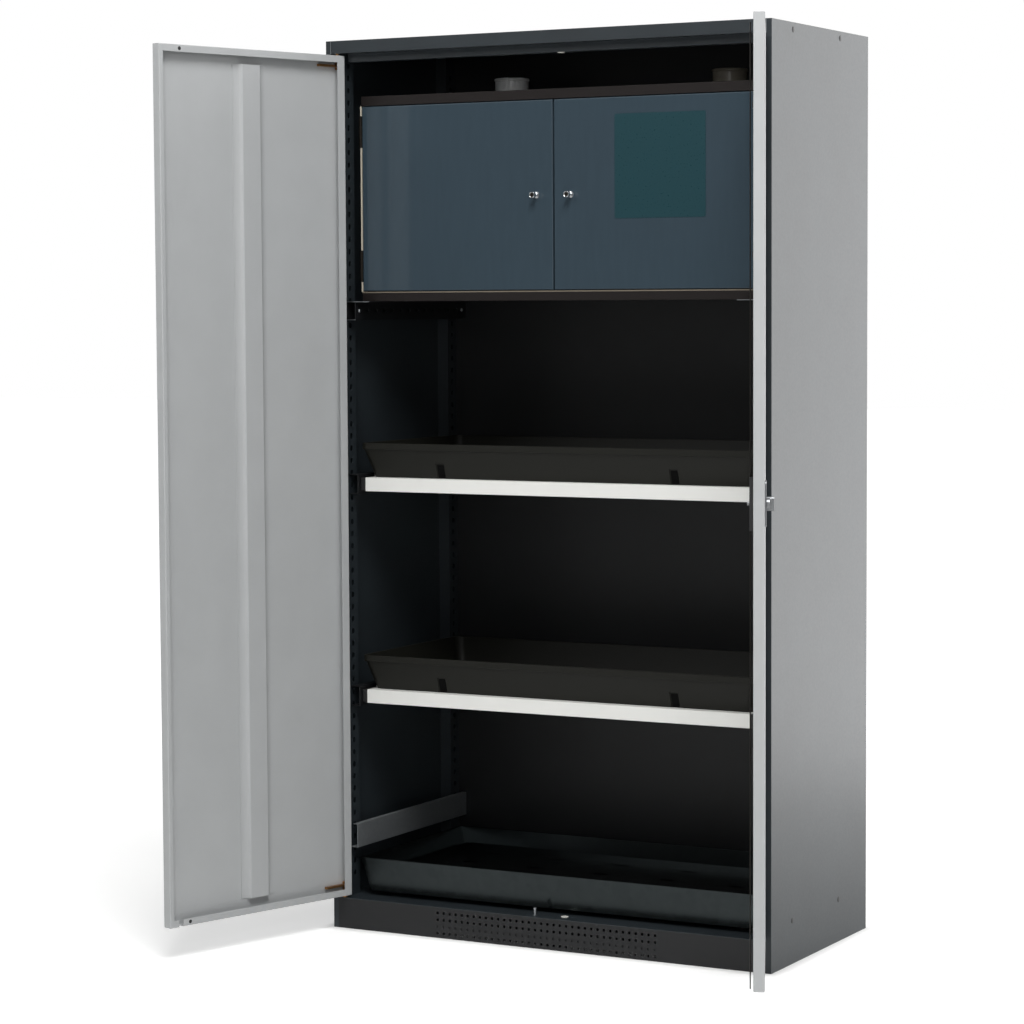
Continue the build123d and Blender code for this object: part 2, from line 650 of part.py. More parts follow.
def make_box_rails():
    """Right and left rails that carry the box: a channel on the uprights with a shelf under the box."""
    section = [
        (INNER - BOX_RAIL_FOOT, BOX_RAIL_BOTTOM),
        (INNER, BOX_RAIL_BOTTOM),
        (INNER, BOX_BOTTOM),
        (INNER - BOX_RAIL_SHELF, BOX_BOTTOM),
    ]
    return both_sides(folded_along_y(section, SHEET, UPRIGHT_FRONT, BACK - SHEET))


def make_box_door():
    """Right door of the box, flush with the edges of the floor and roof boards."""
    z = (BOX_FLOOR + BOX_DOOR_GAP, BOX_ROOF - BOX_DOOR_GAP)
    door = block((BOX_DOOR_GAP, BOX_DOOR_EDGE), (BOX_FRONT, BOX_DOOR_BACK), z)
    return chamfer(door.faces().sort_by(Axis.Y)[0].edges(), BOX_DOOR_BEVEL)


def box_hinge_heights():
    return BOX_FLOOR + BOX_HINGE_INSET, BOX_ROOF - BOX_HINGE_INSET


def make_box_hinge_posts():
    """Fixed halves of the box hinges: a leaf on the side board, two knuckles and the pin."""
    posts = []
    half = BOX_HINGE_LENGTH / 2
    knuckle = BOX_HINGE_LENGTH / 6
    leaf_x = (BOX_HALF, BOX_HALF + BOX_HINGE_LEAF)
    leaf_y = (BOX_PIVOT_Y, BOX_SIDES_FRONT + BOX_HINGE_LEAF_WIDTH)
    for z in box_hinge_heights():
        post = rod(BOX_HINGE_PIN / 2, z - half, z + half, BOX_PIVOT_X, BOX_PIVOT_Y)
        for low, high in ((z - half, z - knuckle), (z + knuckle, z + half)):
            post += prism(BOX_HINGE_BARREL / 2, low, high, BOX_PIVOT_X, BOX_PIVOT_Y)
            post += block(leaf_x, leaf_y, (low, high))
        posts += both_sides(post)
    return posts


def make_box_hinge_sleeves():
    """Moving halves of the right door's hinges: a knuckle on the pin and a leaf on the door's edge."""
    sleeves = []
    half = BOX_HINGE_LENGTH / 6 - BOX_HINGE_GAP
    leaf_x = (BOX_DOOR_EDGE, BOX_HALF + BOX_HINGE_LEAF)
    leaf_y = (BOX_PIVOT_Y, BOX_DOOR_BACK)
    for z in box_hinge_heights():
        low, high = z - half, z + half
        sleeve = prism(BOX_HINGE_BARREL / 2, low, high, BOX_PIVOT_X, BOX_PIVOT_Y)
        sleeve += block(leaf_x, leaf_y, (low, high))
        sleeve -= rod(BOX_HINGE_PIN / 2 + PIN_FIT, low, high, BOX_PIVOT_X, BOX_PIVOT_Y)
        sleeves.append(sleeve)
    return sleeves


def make_box_knob():
    """Round pull knob of the right door of the box."""
    head = BOX_KNOB_SIZE / 2
    neck = BOX_KNOB_NECK / 2
    shoulder = BOX_KNOB_LENGTH - BOX_KNOB_HEAD
    knob = rod(neck, 0, shoulder) + rod(head, shoulder, BOX_KNOB_LENGTH)
    knob += prism(head, 0, BOX_KNOB_ROSE)
    middle = (BOX_FLOOR + BOX_ROOF) / 2
    return Pos(BOX_KNOB_FROM_MIDDLE, BOX_FRONT, middle) * Rot(90, 0, 0) * knob


def make_tub(bottom):
    """Tray tub: a drafted polymer tub with a rim and two shallow clip pockets in its front."""
    base = bottom + TRAY_FRAME_HEIGHT
    top = base + TUB_HEIGHT
    middle = (TRAY_FRONT + TRAY_BACK) / 2
    length = TRAY_BACK - TRAY_FRONT
    base_half = FRAME_HALF - TUB_TOE_IN
    rim = 2 * TUB_RIM_PROUD

    def section(z, wall):
        share = (z - base) / TUB_HEIGHT
        half = base_half + share * (RIM_HALF - TUB_RIM_PROUD - base_half)
        draft = (1 - share) * TUB_FRONT_DRAFT
        size = (2 * (half - wall), length - rim - 2 * (draft + wall))
        return Pos(0, middle, z) * RectangleRounded(*size, TUB_CORNER - wall)

    tub = loft([section(base, 0), section(top, 0)], ruled=True)
    rim_outline = RectangleRounded(2 * RIM_HALF, length, TUB_CORNER)
    tub += Pos(0, middle, top - TUB_RIM_HEIGHT) * extrude(rim_outline, TUB_RIM_HEIGHT)
    tub -= loft([section(base + TUB_WALL, TUB_WALL), section(top, TUB_WALL)], ruled=True)
    slope = TUB_FRONT_DRAFT / TUB_HEIGHT
    for x in (-NOTCH_FROM_MIDDLE, NOTCH_FROM_MIDDLE):
        low, high = base, base + NOTCH_HEIGHT
        face = TRAY_FRONT + TUB_RIM_PROUD + TUB_FRONT_DRAFT
        cut = Polyline(
            (face - TUB_FRONT_DRAFT, low),
            (face + NOTCH_DEPTH, low),
            (face + NOTCH_DEPTH - slope * (high - low), high),
            (face - TUB_FRONT_DRAFT, high),
            close=True,
        )
        tub -= Pos(x - NOTCH_WIDTH / 2, 0, 0) * extrude(Plane.YZ * make_face(cut), NOTCH_WIDTH)
    return tub


def make_tray_frame(bottom):
    """Tray frame: a folded platform with a deep front rail and prongs that hold the tub."""
    top = bottom + TRAY_FRAME_HEIGHT
    t = TRAY_FRAME_SHEET
    y = (TRAY_FRONT, TRAY_BACK)
    frame = block((-FRAME_HALF, FRAME_HALF), y, (bottom, top))
    frame -= block((t - FRAME_HALF, FRAME_HALF - t), (y[0] + t, y[1] - t), (bottom + t, top - t))
    lip_x = FRAME_HALF - TRAY_FRAME_RETURN
    lip_y = (y[0] + TRAY_FRAME_RETURN, y[1] - TRAY_FRAME_RETURN)
    frame -= block((-lip_x, lip_x), lip_y, (bottom - t, bottom + 2 * t))
    for start in (PRONG_FRONT, PRONG_REAR):
        prong_y = (TRAY_FRONT + start, TRAY_FRONT + start + PRONG_WIDTH)
        prong = block((FRAME_HALF - t, FRAME_HALF), prong_y, (top - t, top + PRONG_HEIGHT))
        frame += both_sides(prong)
    return frame


def slide_channel(inboard, outboard, half, opens_inboard, middle):
    """One slide member: a channel whose web stands upright, with evenly spaced holes in the web."""
    low, high = slide_reach()
    web, edge = (outboard, inboard) if opens_inboard else (inboard, outboard)
    section = [(edge, middle + half), (web, middle + half), (web, middle - half), (edge, middle - half)]
    if opens_inboard:
        section.reverse()
    member = folded_along_y(section, SLIDE_SHEET, low, high)
    outline = Plane.YZ * RegularPolygon(SLIDE_HOLE / 2, HOLE_SIDES)
    hole = extrude(outline, 2 * SLIDE_SHEET, both=True)
    step = (high - low) / SLIDE_HOLES
    for k in range(SLIDE_HOLES):
        member -= Pos(web, low + (k + 0.5) * step, middle) * hole
    return member


def slide_reach():
    return TRAY_FRONT + END_CAP_LENGTH + SLIDE_GAP, TRAY_BACK


def make_inner_slides(bottom):
    """Members screwed to the tray frame."""
    middle = bottom + TRAY_FRAME_HEIGHT / 2
    half = SLIDE_HALF_HEIGHT - 2 * (SLIDE_SHEET + SLIDE_GAP)
    outboard = FRAME_HALF + SLIDE_INNER_WIDTH
    return both_sides(slide_channel(FRAME_HALF, outboard, half, False, middle))


def make_middle_slides(bottom):
    """Members that run half as far as the tray."""
    middle = bottom + TRAY_FRAME_HEIGHT / 2
    half = SLIDE_HALF_HEIGHT - SLIDE_SHEET - SLIDE_GAP
    outboard = SLIDE_FACE - SLIDE_SHEET - SLIDE_GAP
    return both_sides(slide_channel(outboard - SLIDE_MIDDLE_WIDTH, outboard, half, True, middle))


def make_outer_slides(bottom):
    """Members fixed to the carriers."""
    middle = bottom + TRAY_FRAME_HEIGHT / 2
    inboard = SLIDE_FACE - SLIDE_OUTER_WIDTH
    return both_sides(slide_channel(inboard, SLIDE_FACE, SLIDE_HALF_HEIGHT, True, middle))


def make_end_caps(bottom):
    """Caps on the front ends of the slides, beside the front rail."""
    middle = bottom + TRAY_FRAME_HEIGHT / 2
    cap = block(
        (FRAME_HALF, SLIDE_FACE),
        (TRAY_FRONT, TRAY_FRONT + END_CAP_LENGTH),
        (middle - SLIDE_HALF_HEIGHT, middle + SLIDE_HALF_HEIGHT),
    )
    return both_sides(chamfer(cap.faces().sort_by(Axis.Y)[0].edges(), END_CAP_BEVEL))


def make_carriers(bottom):
    """Channels on the uprights that carry a pair of slides."""
    middle = bottom + TRAY_FRAME_HEIGHT / 2
    low, high = middle - CARRIER_HEIGHT / 2, middle + CARRIER_HEIGHT / 2
    section = [(INNER, high), (SLIDE_FACE, high), (SLIDE_FACE, low), (INNER, low)]
    return both_sides(folded_along_y(section, SHEET, UPRIGHT_FRONT + CARRIER_END_GAP, BACK - SHEET))


def make_sump():
    """Sump of folded sheet with sloping walls and a turned edge."""
    middle = (SUMP_FRONT + SUMP_BACK) / 2
    length = SUMP_BACK - SUMP_FRONT
    top = SUMP_BOTTOM + SUMP_HEIGHT

    def section(z, wall):
        share = (top - z) / SUMP_HEIGHT
        size = (
            2 * (SUMP_HALF - SUMP_EDGE - share * SUMP_SIDE_DRAFT - wall),
            length - 2 * (SUMP_EDGE + share * SUMP_FRONT_DRAFT + wall),
        )
        return Pos(0, middle, z) * Rectangle(*size)

    sump = loft([section(SUMP_BOTTOM, 0), section(top, 0)], ruled=True)
    sump += Pos(0, middle, top - SUMP_SHEET) * extrude(Rectangle(2 * SUMP_HALF, length), SUMP_SHEET)
    hollow = [section(SUMP_BOTTOM + SUMP_SHEET, SUMP_SHEET), section(top, SUMP_SHEET)]
    return sump - loft(hollow, ruled=True)


def make_glides():
    """Pads that hold the sump off the floor."""
    glide = prism(GLIDE_SIZE / 2, PLINTH_HEIGHT, SUMP_BOTTOM)
    middle = (SUMP_FRONT + SUMP_BACK) / 2
    length = SUMP_BACK - SUMP_FRONT
    spots = GridLocations(2 * (SUMP_HALF - GLIDE_INSET), length - 2 * GLIDE_INSET, 2, 2)
    return [Pos(0, middle, 0) * spot * glide for spot in spots]


def make_stand():
    """Perforated standing plate with folded legs, inside the sump."""
    base = SUMP_BOTTOM + SUMP_SHEET
    half = SUMP_HALF - SUMP_EDGE - SUMP_SIDE_DRAFT - SUMP_SHEET - STAND_GAP
    inset = SUMP_EDGE + SUMP_FRONT_DRAFT + SUMP_SHEET + STAND_GAP
    low, high = SUMP_FRONT + inset, SUMP_BACK - inset
    top = base + STAND_HEIGHT
    section = [(half, base), (half, top), (-half, top), (-half, base)]
    stand = folded_along_y(section, STAND_SHEET, low, high)
    straight = STAND_HOLE_LENGTH / 2 - STAND_HOLE_WIDTH / 2
    corner = (straight, STAND_HOLE_WIDTH / 2)
    upper_edge = [(-STAND_HOLE_LENGTH / 2, 0), (-corner[0], corner[1]), corner, (STAND_HOLE_LENGTH / 2, 0)]
    lower_edge = [(x, -y) for x, y in upper_edge[-2:0:-1]]
    hole = make_face(Polyline(*upper_edge, *lower_edge, close=True))
    grid = GridLocations(STAND_HOLE_PITCH_X, STAND_HOLE_PITCH_Y, STAND_HOLE_COLUMNS, STAND_HOLE_ROWS)
    cut = Sketch() + [place * hole for place in grid]
    return stand - Pos(0, (low + high) / 2, top - 2 * STAND_SHEET) * extrude(cut, 3 * STAND_SHEET)


def make_side_rails():
    """Galvanised rails on the uprights above the sump."""
    low, high = SIDE_RAIL_BOTTOM, SIDE_RAIL_TOP
    face = INNER - SIDE_RAIL_DEPTH
    section = [(face + SIDE_RAIL_LIP, high), (face, high), (face, low), (INNER, low)]
    return both_sides(folded_along_y(section, SHEET, UPRIGHT_FRONT, BACK - SHEET))


def left_open(piece):
    """A piece of the closed left door, turned to its rest angle."""
    return turned(piece, -PIVOT_X, PIVOT_Y, -LEFT_REST_ANGLE)


def right_open(piece):
    """A piece of the closed right door, turned to its rest angle."""
    return turned(piece, PIVOT_X, PIVOT_Y, RIGHT_REST_ANGLE)


def carcass():
    panel = make_side_panel()
    return {
        "left_side_panel": [mirrored(panel)],
        "right_side_panel": [panel],
        "back_panel": [make_back_panel()],
        "top_panel": [make_top_panel()],
        "top_fascia": [make_fascia()],
        "floor_panel": [make_floor_panel()],
        "plinth_front": [make_plinth()],
        "floor_beam": [make_floor_beam()],
        "levelling_feet": make_feet(),
        "side_caps": make_side_caps(),
        "front_uprights": make_uprights(UPRIGHT_FRONT),
        "rear_uprights": make_uprights(UPRIGHT_REAR),
        "door_bushes": make_bushes(),
        "catch_pin": [make_catch_pin()],
        "sump": [make_sump()],
        "sump_glides": make_glides(),
        "sump_stand": [make_stand()],
        "sump_side_rails": make_side_rails(),
    }


def doors():
    rib = make_rib()
    bolts = make_pivot_bolts()
    right = {
        "right_door_panel": [make_right_door()],
        "right_door_rib": [rib],
        "right_pivot_bolts": bolts,
        "handle_plate": [make_handle_plate()],
        "turn_handle": [make_grip()],
        "lock_case": [make_lock_case()],
        "upper_lock_rod": [make_lock_rod(upper_rod_ends())],
        "lower_lock_rod": [make_lock_rod(lower_rod_ends())],
        "rod_guides": make_rod_guides(),
    }
    left = {
        "left_door_panel": [make_left_door()],
        "left_door_rib": [mirrored(rib)],
        "left_pivot_bolts": [mirrored(bolt) for bolt in bolts],
    }
    pieces = {name: [right_open(solid) for solid in solids] for name, solids in right.items()}
    pieces.update({name: [left_open(solid) for solid in solids] for name, solids in left.items()})
    return pieces


def safety_box():
    door = make_box_door()
    sleeves = make_box_hinge_sleeves()
    knob = make_box_knob()
    return {
        "box_sides": make_box_sides(),
        "box_back": [make_box_back()],
        "box_floor": [make_box_floor()],
        "box_roof": [make_box_roof()],
        "box_rails": make_box_rails(),
        "box_hinge_posts": make_box_hinge_posts(),
        "left_spigot": [make_spigot(-SPIGOT_FROM_MIDDLE)],
        "right_spigot": [make_spigot(SPIGOT_FROM_MIDDLE)],
        "box_right_door": [door],
        "box_right_hinge_sleeves": sleeves,
        "box_right_knob": [knob],
        "box_left_door": [mirrored(door)],
        "box_left_hinge_sleeves": [mirrored(sleeve) for sleeve in sleeves],
        "box_left_knob": [mirrored(knob)],
    }


def tray(name, bottom):
    return {
        f"{name}_tub": [make_tub(bottom)],
        f"{name}_tray_frame": [make_tray_frame(bottom)],
        f"{name}_inner_slides": make_inner_slides(bottom),
        f"{name}_middle_slides": make_middle_slides(bottom),
        f"{name}_outer_slides": make_outer_slides(bottom),
        f"{name}_end_caps": make_end_caps(bottom),
        f"{name}_carriers": make_carriers(bottom),
    }


def write(pieces):
    """One file for each piece or group of like pieces."""
    for name, shapes in pieces.items():
        solids = [solid for shape in shapes for solid in shape.solids()]
        export_step(Compound(solids), os.path.join("parts", name + ".step"))


os.makedirs("parts", exist_ok=True)
write(carcass())
write(doors())
write(safety_box())
write(tray("upper", UPPER_TRAY_BOTTOM))
write(tray("lower", LOWER_TRAY_BOTTOM))
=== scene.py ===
"""Looks of a sheet steel chemical storage cabinet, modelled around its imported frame, in metres."""

import json
from math import copysign, pi, radians

import bmesh
import bpy
from bpy.props import FloatProperty, FloatVectorProperty, IntProperty, PointerProperty
from mathutils import Matrix, Vector

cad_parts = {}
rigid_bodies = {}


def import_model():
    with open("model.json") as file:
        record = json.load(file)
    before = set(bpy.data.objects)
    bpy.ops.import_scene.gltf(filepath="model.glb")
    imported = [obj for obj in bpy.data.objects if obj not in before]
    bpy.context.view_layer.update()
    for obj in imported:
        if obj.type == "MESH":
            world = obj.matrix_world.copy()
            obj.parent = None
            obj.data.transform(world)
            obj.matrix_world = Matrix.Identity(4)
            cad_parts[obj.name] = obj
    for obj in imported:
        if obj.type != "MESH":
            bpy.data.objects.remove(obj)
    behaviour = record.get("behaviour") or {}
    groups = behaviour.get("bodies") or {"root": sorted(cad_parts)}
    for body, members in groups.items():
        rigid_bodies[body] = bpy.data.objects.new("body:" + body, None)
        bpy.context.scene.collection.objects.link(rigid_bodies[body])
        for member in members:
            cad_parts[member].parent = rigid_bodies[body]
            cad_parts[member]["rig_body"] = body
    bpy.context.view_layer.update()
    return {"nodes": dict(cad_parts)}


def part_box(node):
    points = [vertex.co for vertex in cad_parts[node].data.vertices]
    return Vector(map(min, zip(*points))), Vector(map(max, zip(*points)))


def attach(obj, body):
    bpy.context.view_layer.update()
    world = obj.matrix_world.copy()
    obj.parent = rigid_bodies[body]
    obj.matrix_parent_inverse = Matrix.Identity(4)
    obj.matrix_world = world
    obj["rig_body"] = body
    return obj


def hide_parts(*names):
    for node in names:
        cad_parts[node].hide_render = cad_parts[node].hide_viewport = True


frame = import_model()

bl_info = {
    "name": "Chemical storage cabinet",
    "version": (1, 0, 0),
    "blender": (4, 5, 0),
    "location": "View3D > Sidebar > Cabinet",
    "description": "Dresses the frame of a storage cabinet with its finer pieces and finishes",
    "category": "Object",
}

MM = 0.001
# Points closer than this are one point.
MERGE = 0.000005
# Edges bent by more than SHARP stay crisp, and faces bent by less than FLAT are one face.
SHARP, FLAT = radians(20), radians(0.5)
# Steps round a turned piece, a punched hole and a small disc.
ROUND_STEPS, HOLE_STEPS, DISC_STEPS = 32, 16, 24
# A fold is at least this many radii long, with faces this many radii wide beside it.
FOLD_LENGTH, FOLD_WIDTH = 50, 2.5
# A face whose normal rises less than this is a wall.
WALL_RISE = 0.9
# The right door's pivot, the inner face of a closed door's returns, and the turn to each door's open place.
PIVOT_X, PIVOT_Y = 0.503, -0.2525
DOOR_BACK = -0.238
DOOR_SWING = {"left": radians(-107), "right": radians(113.5)}

# Marks along a slide's web: distance from its front end, and whether it is a tab.
SLIDE_MARKS = ((0.022, False), (0.042, False), (0.056, True), (0.1, True), (0.13, False),
               (0.165, False), (0.26, False))
# Turned shapes in shares of a radius and a height, from the middle of the top to the middle of the base.
CAP_DOME = ((0, 1), (0.5, 0.9), (0.85, 0.55), (1, 0), (0, 0))
HEAD_DOME = ((0, 1), (0.45, 0.95), (0.8, 0.7), (1, 0), (0, 0))
# A dome for the black discs that paint the shade of the holes in the doors' lips.
HOLE_SHADE_DOME = ((0, 1), (0.7, 1), (1, 0), (0, 0))
# Share of its depth that a CAD piece keeps where it is pressed flat towards the right door.
CASE_SHARE, GUIDE_SHARE, ROD_SHARE = 0.8, 0.65, 0.35
# Plain width round a slot, in slot widths, for the uprights and the carrying rails.
SLOT_CELL, RAIL_CELL = 1.6, 3

# Studio lamps: name, place, aim, width and height in metres, power in watts.
LAMPS = (
    ("high key", (1.6, -3.2, 5.0), (-0.3, -0.3, 1.0), 2.2, 2.2, 205),
    ("left key", (-2.4, -4.2, 4.2), (0.0, -0.2, 1.0), 2.0, 2.0, 48),
    ("camera fill", (2.2, -5.4, 2.0), (0.0, -0.2, 1.0), 1.5, 1.5, 22),
    ("bright backdrop", (1.35, 1.5, 1.55), (0.4, -0.25, 1.55), 3.0, 3.0, 54),
)
# The camera's place, its turns in radians, and its focal length in picture widths.
CAMERA_PLACE = (3.0063, -5.9520, 1.3839)
CAMERA_TURN = (("Y", -0.00534), ("X", 0.06909), ("Z", -0.49590))
SENSOR, FOCAL_TO_WIDTH = 36.0, 3046.6 / 1024
CLIP_END = 100.0
# The floor: half its width, half of the cabinet's footprint with its blend, and its paper.
FLOOR_HALF = 30.0
FOOTPRINT = (0.5275, 0.26, 0.0)
FOOTPRINT_BLEND = 0.03
PAPER = ("F4F4F3", "F8F8F7")
PAPER_PATCHES, PAPER_ROUGHNESS = 4.0, 0.9
# The floor's glow, and the distances from the cabinet over which it grows.
GLOW_START, GLOW_END = 0.9, 3.5
NEAR_GLOW, FAR_GLOW = 0.4, 0.85
# The world's strengths: as light, and in reflections from the front to the back, with the turn between.
SOFT_LIGHT = 0.22
MIRROR_FRONT, MIRROR_BACK = 0.08, 1.0
MIRROR_TURN = (-0.4, 0.3)
WHITE = (1, 1, 1, 1)


def linear(code):
    """Turns an sRGB hex colour into linear values for a shader."""
    channels = [int(code[k:k + 2], 16) / 255 for k in (0, 2, 4)]
    return tuple(c / 12.92 if c <= 0.04045 else ((c + 0.055) / 1.055) ** 2.4 for c in channels)


def length(label, description, millimetres):
    """A size that a user may change, with its default in metres."""
    return FloatProperty(name=label, description=description, default=millimetres * MM,
                         min=0.0, unit="LENGTH", precision=4)


def colour(label, description, code):
    """A colour that a user may change."""
    return FloatVectorProperty(name=label, description=description, default=linear(code),
                               subtype="COLOR", size=3, min=0.0, max=1.0)


class CabinetSizes(bpy.types.PropertyGroup):
    """Sizes of the finer pieces"""
    sheet: length("Sheet", "Thickness of the carcass sheet", 1.5)
    edge: length("Edge rounding", "Rounding of folded and cut sheet edges", 0.5)
    fold: length("Fold radius", "Outer radius of the folds of the doors", 2.0)
    board_edge: length("Board rounding", "Rounding of the edges of boards", 1.0)
    joint: length("Joint", "Width of the joints between fascia and hems", 2.0)
    joint_inset: length("Joint inset", "Distance of a joint's middle from the end of the fascia", 2.0)
    # The bright cut edges of the hems are painted highlights along the fascia's ends.
    cut_edge: length("Cut edge", "Width of the bright cut edge of a hem", 1.4)
    edge_proud: length("Edge height", "How far a bright cut edge stands out", 0.1)
    fascia: length("Fascia", "Height of the fascia's front", 27.0)
    vent: length("Vent", "Diameter of a vent hole in the plinth", 6.0)
    vent_pitch: length("Vent pitch", "Distance between vent holes", 15.0)
    vent_columns: IntProperty(name="Vent columns", description="Vent holes along the plinth", default=36)
    vent_rows: IntProperty(name="Vent rows", description="Rows of vent holes", default=4)
    vent_low: length("Lowest vents", "Height of the lowest row of vents", 10.0)
    backing: length("Backing", "Distance of the strip behind the vents from the plinth's front", 3.3)
    slot_width: length("Slot width", "Width of a slot in an upright", 11.0)
    slot_height: length("Slot height", "Height of a slot in an upright", 13.0)
    slot_pitch: length("Slot pitch", "Distance between slots in an upright", 27.0)
    slot_margin: length("Slot margin", "Plain length at the ends of an upright", 40.0)
    tub_wall: length("Tub wall", "Wall of a tray tub", 3.0)
    tub_corner: length("Tub corner", "Corner radius of a tray tub", 18.0)
    tub_rim: length("Tub rim", "How far a tub's rim stands out from its wall", 3.0)
    tub_rim_height: length("Tub rim height", "Height of a tub's rim", 14.0)
    tub_front_draft: length("Tub front draft", "How far a tub's front leans out", 20.0)
    tub_side_draft: length("Tub side draft", "How far a tub's sides lean out", 18.0)
    pocket_from_middle: length("Pocket place", "Clip pocket's distance from the middle of a tub", 281.0)
    pocket_width: length("Pocket width", "Width of a clip pocket", 20.0)
    pocket_height: length("Pocket height", "Height of a clip pocket", 34.0)
    pocket_depth: length("Pocket depth", "Depth of a clip pocket", 2.6)
    # The tongue sizes below are for dead black plates that paint the shade in the tubs' pockets and notches.
    tongue: length("Clip tongue", "Thickness of the tongue in a clip pocket", 1.0)
    tongue_gap: length("Tongue gap", "Gap round the tongue in a clip pocket", 2.0)
    tongue_proud: length("Tongue height", "How far a tongue stands out of a side wall", 0.3)
    front_clip: length("Front clip", "Distance of the front side pocket from a tub's front", 54.0)
    rear_clip: length("Rear clip", "Distance of the rear side pocket from a tub's front", 321.0)
    rivet: length("Rivet", "Diameter of a rivet head in a slide", 7.0)
    rivet_proud: length("Rivet height", "How far a rivet head stands out", 1.2)
    tab_width: length("Tab width", "Width of a stop tab in a slide", 3.5)
    tab_height: length("Tab height", "Height of a stop tab in a slide", 10.0)
    slide_sheet: length("Slide sheet", "Thickness of a slide's web", 1.2)
    sump_edge: length("Sump edge", "Width of the sump's turned edge", 4.0)
    sump_side_draft: length("Sump side draft", "How far the sump's sides lean out", 18.0)
    sump_front_draft: length("Sump front draft", "How far the sump's front leans out", 10.0)
    hinge_room: length("Hinge room", "Half of the gap in a seal strip beyond a hinge sleeve", 24.0)
    # The pale band is a painted highlight along the top front edge of the box floor.
    floor_strip: length("Floor strip", "Height of the pale band along the box floor", 2.5)
    rail_slot_pitch: length("Rail slot pitch", "Distance between slots in a carrying rail", 36.0)
    rail_slot_length: length("Rail slot length", "Length of a slot in a carrying rail", 18.0)
    rail_slot_width: length("Rail slot width", "Width of a slot in a carrying rail", 7.0)
    # The bright front ends of the carrying rails are painted highlights.
    highlight_proud: length("Cut height", "How far a rail's bare cut edge stands out", 0.3)
    screw: length("Screw head", "Diameter of a small screw head", 9.0)
    seal_width: length("Seal width", "Width of the strips beside the box doors", 3.0)
    knob: length("Knob", "Diameter of a knob of the safety box", 14.0)
    knob_neck: length("Knob neck", "Diameter of a knob's neck", 8.0)
    spigot: length("Spigot", "Outer diameter of a duct spigot", 75.0)
    spigot_wall: length("Spigot wall", "Wall of a duct spigot", 2.0)
    cap: length("Screw cap", "Diameter of a cap over a side screw", 13.0)
    plate_margin_x: length("Plate margin", "Bare plate's distance from the door's meeting edge", 143.5)
    plate_width: length("Plate width", "Width of the bare plate on the box door", 210.0)
    plate_height: length("Plate height", "Height of the bare plate on the box door", 218.0)
    plate_drop: length("Plate drop", "Bare plate's distance from the top of the box door", 35.5)
    plate_corner: length("Plate corner", "Corner radius of the bare plate", 4.0)
    plate_thick: length("Plate thickness", "Thickness of the bare plate", 0.6)
    # The plug sizes below are for black discs that paint the shade of holes in the doors' lips.
    plug: length("Lip plug", "Diameter of a plug in a door's lip", 8.0)
    plug_proud: length("Plug height", "How far a plug stands out of a door's lip", 0.4)
    plug_inset: length("Plug inset", "Distance of a lip plug from the end of the door", 8.0)
    plug_reach: length("Plug reach", "Distance of a lip plug from the door's pivot", 448.0)


class CabinetColours(bpy.types.PropertyGroup):
    """Colours of the finishes"""
    anthracite: colour("Anthracite", "Powder coat of the carcass", "292F33")
    # On the back panel and the rails inside the carcass this black is painted shade of the carcass's inside.
    black_coat: colour("Black coat", "Powder coat of the plinth, back and rails", "17181A")
    light_grey: colour("Light grey", "Powder coat of the doors", "B4B6B7")
    white: colour("White", "Powder coat of the tray frames", "E6E6E2")
    slate: colour("Slate", "Laminate of the box doors", "35424B")
    board: colour("Board", "Edge band of the box boards", "181312")
    # Pale colour of the band that paints the highlight on the box floor's top front edge.
    raw_edge: colour("Raw edge", "Raw edge of the box floor", "6E6659")
    petrol: colour("Petrol", "Bare plate on the box door", "183A41")
    black_polymer: colour("Black polymer", "Polyethylene of the tubs", "1A1A16")
    black_plastic: colour("Black plastic", "Caps, feet and glides", "1B1B1C")
    # Dead black of the plates that paint the shade in the tubs' clip pockets and notches.
    rubber: colour("Rubber", "Clip tongues of the tubs", "060606")
    seal: colour("Seal", "Strips beside the box doors", "B9B2A2")
    # Both spigots are one pipe plastic: the left colour is lifted near white as painted light, and the right
    # one is darkened as painted shade.
    grey_plastic: colour("Grey plastic", "Left duct spigot", "F8FAFA")
    dark_plastic: colour("Dark plastic", "Right duct spigot", "8C8578")
    nylon: colour("Nylon", "Bushes and sockets", "E6E4DC")
    brass: colour("Brass", "Levers of the pivot bolts", "B98A5C")
    chrome: colour("Chrome", "Knobs of the safety box", "DADCDE")
    satin: colour("Satin", "Brushed plate of the turn handle", "8F9193")
    zinc: colour("Zinc", "Plated rods and pins", "A9ADB0")
    galvanised: colour("Galvanised", "Sump and its plate", "3C4142")
    black_zinc: colour("Black zinc", "Telescopic slides", "3A3632")


def node_body(node):
    """The body that a CAD node rides on."""
    return frame["nodes"][node]["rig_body"]


def add_node(tree, kind, values=None, links=None, **settings):
    """Adds a node with its values, its links and its settings."""
    node = tree.nodes.new(kind)
    for name, value in settings.items():
        setattr(node, name, value)
    for name, value in (values or {}).items():
        node.inputs[name].default_value = value
    for name, source in (links or {}).items():
        feed(tree, source, node, name)
    return node


def feed(tree, source, node, name):
    """Links a socket, or a node's first output, to a node's input."""
    tree.links.new(source.outputs[0] if isinstance(source, bpy.types.Node) else source, node.inputs[name])


def new_material(name):
    """An empty material: its tree, its shader and the object's own coordinates."""
    material = bpy.data.materials.get(name) or bpy.data.materials.new(name)
    material.use_nodes = True
    tree = material.node_tree
    tree.nodes.clear()
    shader = add_node(tree, "ShaderNodeBsdfPrincipled")
    add_node(tree, "ShaderNodeOutputMaterial", links={"Surface": shader})
    place = add_node(tree, "ShaderNodeTexCoord").outputs["Object"]
    return material, tree, shader, place


def rgba(colour, gain=1.0):
    """A colour times a gain, with its alpha."""
    return tuple(min(1.0, c * gain) for c in colour) + (1.0,)


